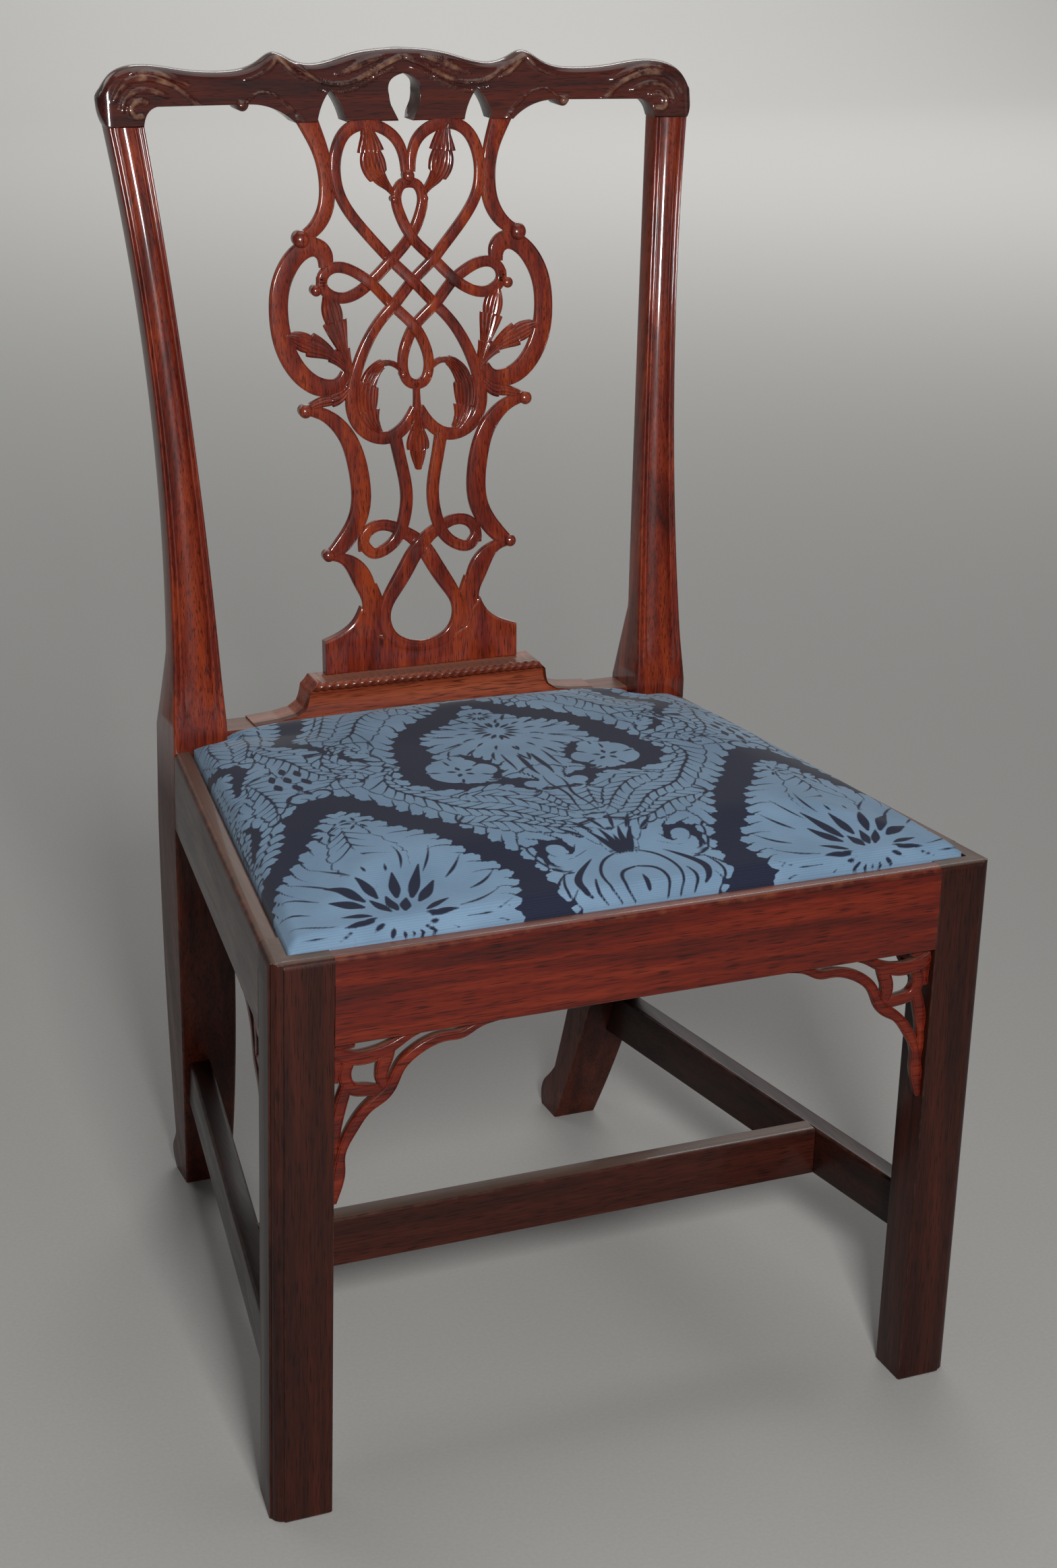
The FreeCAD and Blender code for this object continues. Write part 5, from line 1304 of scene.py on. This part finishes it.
def damask_finish():
    """Woven damask that reads the figure from the cover's points."""
    material, tree, shader = new_finish("woven_damask")
    figure = add(tree, "ShaderNodeAttribute", attribute_name="figure").outputs["Fac"]
    pale = add(tree, "ShaderNodeMapRange", [(figure, "Value")], From_Min=-0.4, From_Max=0.5)
    place = add(tree, "ShaderNodeAttribute", attribute_name="laid").outputs["Vector"]
    weave = add(tree, "ShaderNodeTexWave", [(place, "Vector")], bands_direction="Y",
                Scale=thread_scale(THREAD_MM), Distortion=1.5, Detail=1.0)
    weave.inputs["Detail Scale"].default_value = 3.0
    cloud = add(tree, "ShaderNodeTexNoise", [(place, "Vector")], Scale=per_metre(60.0), Detail=3.0)
    satin = ramp(tree, cloud.outputs["Fac"], (0.3, "#627b92"), (0.7, "#718ba2"))
    ground = ramp(tree, weave.outputs["Fac"], (0.0, "#1b1e2e"), (1.0, "#202436"))
    thread = ramp(tree, weave.outputs["Fac"], (0.0, "#f0f0f0"), (1.0, "#ffffff"))
    shaded = add(tree, "ShaderNodeMix", data_type="RGBA", blend_type="MULTIPLY")
    shaded.inputs[0].default_value = 1.0
    tree.links.new(satin, shaded.inputs[6])
    tree.links.new(thread, shaded.inputs[7])
    cloth = add(tree, "ShaderNodeMix", [(pale.outputs[0], 0)], data_type="RGBA")
    tree.links.new(ground, cloth.inputs[6])
    tree.links.new(shaded.outputs[2], cloth.inputs[7])
    tree.links.new(cloth.outputs[2], shader.inputs["Base Color"])
    rough = add(tree, "ShaderNodeMapRange", [(pale.outputs[0], "Value")], To_Min=0.9, To_Max=0.7)
    tree.links.new(rough.outputs[0], shader.inputs["Roughness"])
    bump = add(tree, "ShaderNodeBump", [(weave.outputs["Fac"], "Height")], Strength=0.08, Distance=0.0004)
    raised = add(tree, "ShaderNodeBump", [(pale.outputs[0], "Height"), (bump.outputs["Normal"], "Normal")],
                 Strength=0.3, Distance=0.0005)
    tree.links.new(raised.outputs["Normal"], shader.inputs["Normal"])
    shader.inputs["Sheen Weight"].default_value = 0.08
    shader.inputs["Sheen Roughness"].default_value = 0.4
    shader.inputs["Specular IOR Level"].default_value = 0.2
    return material


def fall_line(points):
    """Plan places with the cover's sides laid flat: a point below the rim is pushed out by its drop."""
    drop = np.clip(PAD_LOW + EDGE_FALL - points[:, 2], 0, None)
    out = points[:, :2] - SEAT_MIDDLE
    return points[:, :2] + out / np.linalg.norm(out, axis=1, keepdims=True) * drop[:, None]


points, faces = cover_skin(cover_grid)
cover_mesh = bpy.data.meshes.new("seat_cover")
cover_mesh.from_pydata(((points + (0, front_face, 0)) * MM).tolist(), [], faces)
cover_mesh.shade_smooth()
laid = fall_line(points)
field = cover_mesh.attributes.new("figure", "FLOAT", "POINT")
field.data.foreach_set("value", damask(laid[:, 0], laid[:, 1]).astype(np.float32))
flat_places = np.c_[laid, np.zeros(len(laid))] * MM
laid_field = cover_mesh.attributes.new("laid", "FLOAT_VECTOR", "POINT")
laid_field.data.foreach_set("vector", flat_places.ravel().astype(np.float32))
cover_mesh.validate()
cover = bpy.data.objects.new("damask_seat", cover_mesh)
bpy.context.scene.collection.objects.link(cover)
cover_mesh.materials.append(damask_finish())
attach(cover, "seat")
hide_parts("seat_cover", "seat_stuffing")
print("damask seat vertices", len(cover_mesh.vertices))

# %% [markdown]
# ## Under the seat
# Turned over, the seat shows its beech frame, a lattice of jute webbing and the canvas that carries the
# stuffing. Jute and hessian are coarse, dull, straw-coloured plain weaves. One flat sheet could show the
# webbing, but its gaps would be closed, so these are real straps that pass over and under each other.

# %% Webbing and canvas
WEB_THICK = 0.9


def web_strap(low, high, length_axis, first, pitch, way):
    """Strap between two corners: it rises over every other strap it meets and dips under the rest."""
    span = np.linspace(low[length_axis], high[length_axis], 80)[:, None]
    across_axis = 1 - length_axis
    wave = WEB_LEVEL + way * 0.55 * WEB_THICK * np.cos(np.pi * (span - first) / pitch)
    wide = eased([(low[across_axis], -WEB_THICK / 2), (high[across_axis], -WEB_THICK / 2),
                  (high[across_axis], WEB_THICK / 2), (low[across_axis], WEB_THICK / 2)], 0.3, 3)[0]
    rings = np.empty((80, len(wide), 3))
    rings[..., length_axis] = span
    rings[..., across_axis] = wide[:, 0]
    rings[..., 2] = wave + wide[:, 1]
    return skin(rings)


def woven_finish(name, dark, light, thread_mm):
    """Plain weave: two sets of threads at right angles."""
    material, tree, shader = new_finish(name)
    place = add(tree, "ShaderNodeTexCoord").outputs["Object"]
    warp = add(tree, "ShaderNodeTexWave", [(place, "Vector")], bands_direction="X",
               Scale=thread_scale(thread_mm), Distortion=0.8)
    weft = add(tree, "ShaderNodeTexWave", [(place, "Vector")], bands_direction="Y",
               Scale=thread_scale(thread_mm), Distortion=0.8)
    over = add(tree, "ShaderNodeMath", [(warp.outputs["Fac"], 0), (weft.outputs["Fac"], 1)],
               operation="MULTIPLY")
    tree.links.new(ramp(tree, over.outputs[0], (0.0, dark), (0.6, light)), shader.inputs["Base Color"])
    bump = add(tree, "ShaderNodeBump", [(over.outputs[0], "Height")], Strength=0.5, Distance=0.0006)
    tree.links.new(bump.outputs["Normal"], shader.inputs["Normal"])
    shader.inputs["Roughness"].default_value = 0.9
    return material


jute = woven_finish("jute_webbing", "#6b5638", "#a58a5e", 1.6)
hessian = woven_finish("hessian_canvas", "#7d6a48", "#b49b6c", 1.3)
WEB_WIDTH = 50.0
WEB_LEVEL = 432.0
WEB_INSET = 15.0
WEAVE = (1, -1, 1, -1)
half_web = WEB_WIDTH / 2
cross_low, cross_high = node_box("webbing_crosswise")
long_low, long_high = node_box("webbing_lengthwise")
web_y = cross_low[1] + half_web + (cross_high[1] - cross_low[1] - WEB_WIDTH) / 3 * np.arange(4)
web_x = long_low[0] + half_web + (long_high[0] - long_low[0] - WEB_WIDTH) / 3 * np.arange(4)
reach = side_x(web_y + half_web, lip + WEB_INSET)
cross_shells = [web_strap((-r, y - half_web), (r, y + half_web), 0, web_x[0], web_x[1] - web_x[0], way)
                for y, r, way in zip(web_y, reach, WEAVE)]
long_shells = [web_strap((x - half_web, long_low[1]), (x + half_web, long_high[1]), 1, web_y[0],
                         web_y[1] - web_y[0], -way) for x, way in zip(web_x, WEAVE)]
add_piece("webbing_crosswise", cross_shells, jute, "seat")
add_piece("webbing_lengthwise", long_shells, jute, "seat")
CANVAS_INSET = 8.0
CANVAS_LEVEL = 433.7
CANVAS_THICK = 0.6
canvas_notch = NOTCH_Y - 4
canvas_low, canvas_high = node_box("seat_canvas")
canvas_y = np.concatenate([np.linspace(canvas_low[1], canvas_notch, 38),
                           np.linspace(canvas_notch + 0.5, canvas_high[1], 4)])[:, None]
canvas_wide = np.minimum(side_x(canvas_y, lip + CANVAS_INSET), canvas_high[0])
canvas_half = np.where(canvas_y <= canvas_notch, canvas_wide, post_inner - CANVAS_INSET)
canvas_a = np.linspace(-1, 1, 50)[None, :]
belly = 0.35 * np.sin(np.pi * (canvas_a + 1) * 4) * np.sin(np.pi * (canvas_y - canvas_low[1]) / 45)
canvas_z = CANVAS_LEVEL + 0.2 * belly
canvas_top = np.stack([canvas_half * canvas_a, np.broadcast_to(canvas_y, belly.shape), canvas_z], -1)
canvas_under = canvas_top - (0, 0, CANVAS_THICK)
canvas_rings = np.concatenate([canvas_top, canvas_under[:, ::-1]], 1)
canvas = add_piece("seat_canvas", [skin(canvas_rings)], hessian, "seat")

# %% [markdown]
# The seat frame is sawn beech, the corner blocks are sawn oak, and screws and tacks hold them. They are plain
# inside parts with flat faces, so remaking them would gain nothing: their solids stay and only get a finish.

# %% Plain timbers and fastenings keep their solids
TIMBER_GRAIN_MM = 3.0
RUST_PATCH_MM = 2.0
RUST = "#6a5a4c"


def plain_timber(name, dark, light, along):
    """Unpolished timber: drawn-out grain, no gloss."""
    material, tree, shader = new_finish(name)
    place = add(tree, "ShaderNodeTexCoord").outputs["Object"]
    drawn = add(tree, "ShaderNodeMapping", [(place, "Vector")], Scale=DRAWN_OUT[along]).outputs["Vector"]
    grain = add(tree, "ShaderNodeTexNoise", [(drawn, "Vector")], Scale=per_metre(TIMBER_GRAIN_MM), Detail=5.0)
    tree.links.new(ramp(tree, grain.outputs["Fac"], (0.35, dark), (0.65, light)), shader.inputs["Base Color"])
    bump = add(tree, "ShaderNodeBump", [(grain.outputs["Fac"], "Height")], Strength=0.2, Distance=0.0004)
    tree.links.new(bump.outputs["Normal"], shader.inputs["Normal"])
    shader.inputs["Roughness"].default_value = 0.7
    return material


def forged_steel(name, colour, rough):
    """Old iron or steel: dark, unevenly oxidised."""
    material, tree, shader = new_finish(name)
    place = add(tree, "ShaderNodeTexCoord").outputs["Object"]
    patch = add(tree, "ShaderNodeTexNoise", [(place, "Vector")], Scale=per_metre(RUST_PATCH_MM), Detail=4.0)
    oxide = ramp(tree, patch.outputs["Fac"], (0.35, colour), (0.7, RUST))
    tree.links.new(oxide, shader.inputs["Base Color"])
    shader.inputs["Metallic"].default_value = 0.85
    shader.inputs["Roughness"].default_value = rough
    return material


oak = plain_timber("sawn_oak", "#7a5a38", "#a37f52", "Y")
beech_cross = plain_timber("sawn_beech_cross", "#9c7850", "#c29c6e", "X")
beech_long = plain_timber("sawn_beech_long", "#9c7850", "#c29c6e", "Y")
screw_steel = forged_steel("screw_steel", "#8a8680", 0.45)
tack_steel = forged_steel("blued_tack_steel", "#4a4c52", 0.4)
kept = {"front_corner_block_left": oak, "front_corner_block_right": oak, "rear_corner_block_left": oak,
        "rear_corner_block_right": oak, "corner_block_screws": screw_steel, "cover_tacks": tack_steel,
        "seat_frame_front": beech_cross, "seat_frame_rear": beech_cross, "seat_frame_left": beech_long,
        "seat_frame_right": beech_long}
for node, finish in kept.items():
    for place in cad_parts[node].material_slots:
        place.material = finish
print("solids kept", len(kept))

# %% [markdown]
# ## Stage
# A matt paper floor curves up into a backdrop. A small soft key light just above the camera draws the long
# highlights on the mouldings. One large soft box would be simpler, but then those lines are lost. A weak fill
# on the right, a broad light overhead, one for the backdrop, one for the chair's back and an even surround
# keep the rest readable.

# %% Floor, lights and surround


def backdrop():
    """Sweep of floor and wall: flat, then a quarter circle, then upright."""
    turn = np.linspace(0, np.pi / 2, 24)
    y = np.concatenate([[-16.0], 7.5 + 2.5 * np.sin(turn), [10.0]])
    z = np.concatenate([[0.0], 2.5 * (1 - np.cos(turn)), [8.0]])
    x = np.linspace(-18, 18, 3)
    points = np.stack(np.broadcast_arrays(x[None, :], y[:, None], z[:, None]), -1).reshape(-1, 3)
    index = np.arange(len(points)).reshape(len(y), len(x))
    quads = np.stack([index[:-1, :-1], index[:-1, 1:], index[1:, 1:], index[1:, :-1]], -1).reshape(-1, 4)
    mesh = bpy.data.meshes.new("backdrop")
    mesh.from_pydata(points.tolist(), [], quads.tolist())
    mesh.shade_smooth()
    return bpy.data.objects.new("backdrop", mesh)


floor = backdrop()
bpy.context.scene.collection.objects.link(floor)
paper, tree, shader = new_finish("pale_paper")
place = add(tree, "ShaderNodeTexCoord").outputs["Object"]
fibres = add(tree, "ShaderNodeTexNoise", [(place, "Vector")], Scale=per_metre(3.0), Detail=2.0)
grey = ramp(tree, fibres.outputs["Fac"], (0.3, "#979693"), (0.7, "#9b9a97"))
tree.links.new(grey, shader.inputs["Base Color"])
shader.inputs["Roughness"].default_value = 0.9
floor.data.materials.append(paper)


def soft_light(name, place, aim, size, power):
    """Square soft box at a place, facing a point."""
    lamp = bpy.data.lights.new(name, "AREA")
    lamp.size = size
    lamp.energy = power
    light = bpy.data.objects.new(name, lamp)
    bpy.context.scene.collection.objects.link(light)
    light.location = place
    light.rotation_mode = "QUATERNION"
    light.rotation_quaternion = Vector(np.array(aim) - np.array(place)).to_track_quat("-Z", "Y")
    return light


soft_light("key_light", (-0.5, -2.0, 1.5), (0, 0, 0.5), 0.35, 52)
soft_light("fill_light", (2.2, -1.6, 1.6), (0, 0, 0.5), 1.6, 2.5)
soft_light("top_light", (0.3, 0.2, 3.2), (0, 0.1, 0.3), 2.0, 13)
soft_light("wall_light", (3.6, 6.0, 5.5), (4.2, 8.5, 0.3), 5.0, 650)
soft_light("rear_light", (-1.8, 2.8, 3.0), (0, 0, 0.4), 2.0, 18)
world = bpy.data.worlds.new("even_surround")
bpy.context.scene.world = world
world.use_nodes = True
world.node_tree.nodes["Background"].inputs["Color"].default_value = srgb("#dcdcde")
world.node_tree.nodes["Background"].inputs["Strength"].default_value = 0.13

# %% [markdown]
# ## Camera
# The photograph was taken from the front left, a little above the crest and slightly rolled. The solved
# place, angles and focal length in pixels are set here, in the photograph's own frame.

# %% Camera
IMAGE = (1568, 2327)
FOCAL_PX = 3962.0
CENTRE_PX = (825.7, 1071.3)
AZIMUTH, ELEVATION, ROLL = np.radians([-24.407, 19.456, 1.979])
CAMERA_MM = np.array([-765.9, -1514.3, 1166.7])
SENSOR = 36.0
back = np.array([np.sin(AZIMUTH) * np.cos(ELEVATION), -np.cos(AZIMUTH) * np.cos(ELEVATION),
                 np.sin(ELEVATION)])
level = np.array([np.cos(AZIMUTH), np.sin(AZIMUTH), 0.0])
upright = np.cross(back, level)
right = np.cos(ROLL) * level + np.sin(ROLL) * upright
top = -np.sin(ROLL) * level + np.cos(ROLL) * upright
lens = bpy.data.cameras.new("camera")
lens.sensor_width = SENSOR
lens.lens = SENSOR * FOCAL_PX / IMAGE[1]
lens.shift_x = (IMAGE[0] / 2 - CENTRE_PX[0]) / IMAGE[1]
lens.shift_y = (CENTRE_PX[1] - IMAGE[1] / 2) / IMAGE[1]
camera = bpy.data.objects.new("camera", lens)
bpy.context.scene.collection.objects.link(camera)
pose = np.eye(4)
pose[:3, :3] = np.stack([right, top, back], 1)
pose[:3, 3] = (CAMERA_MM + (0, front_face, 0)) * MM
camera.matrix_world = Matrix(pose.tolist())
bpy.context.scene.camera = camera
bpy.context.scene.view_settings.view_transform = "Standard"
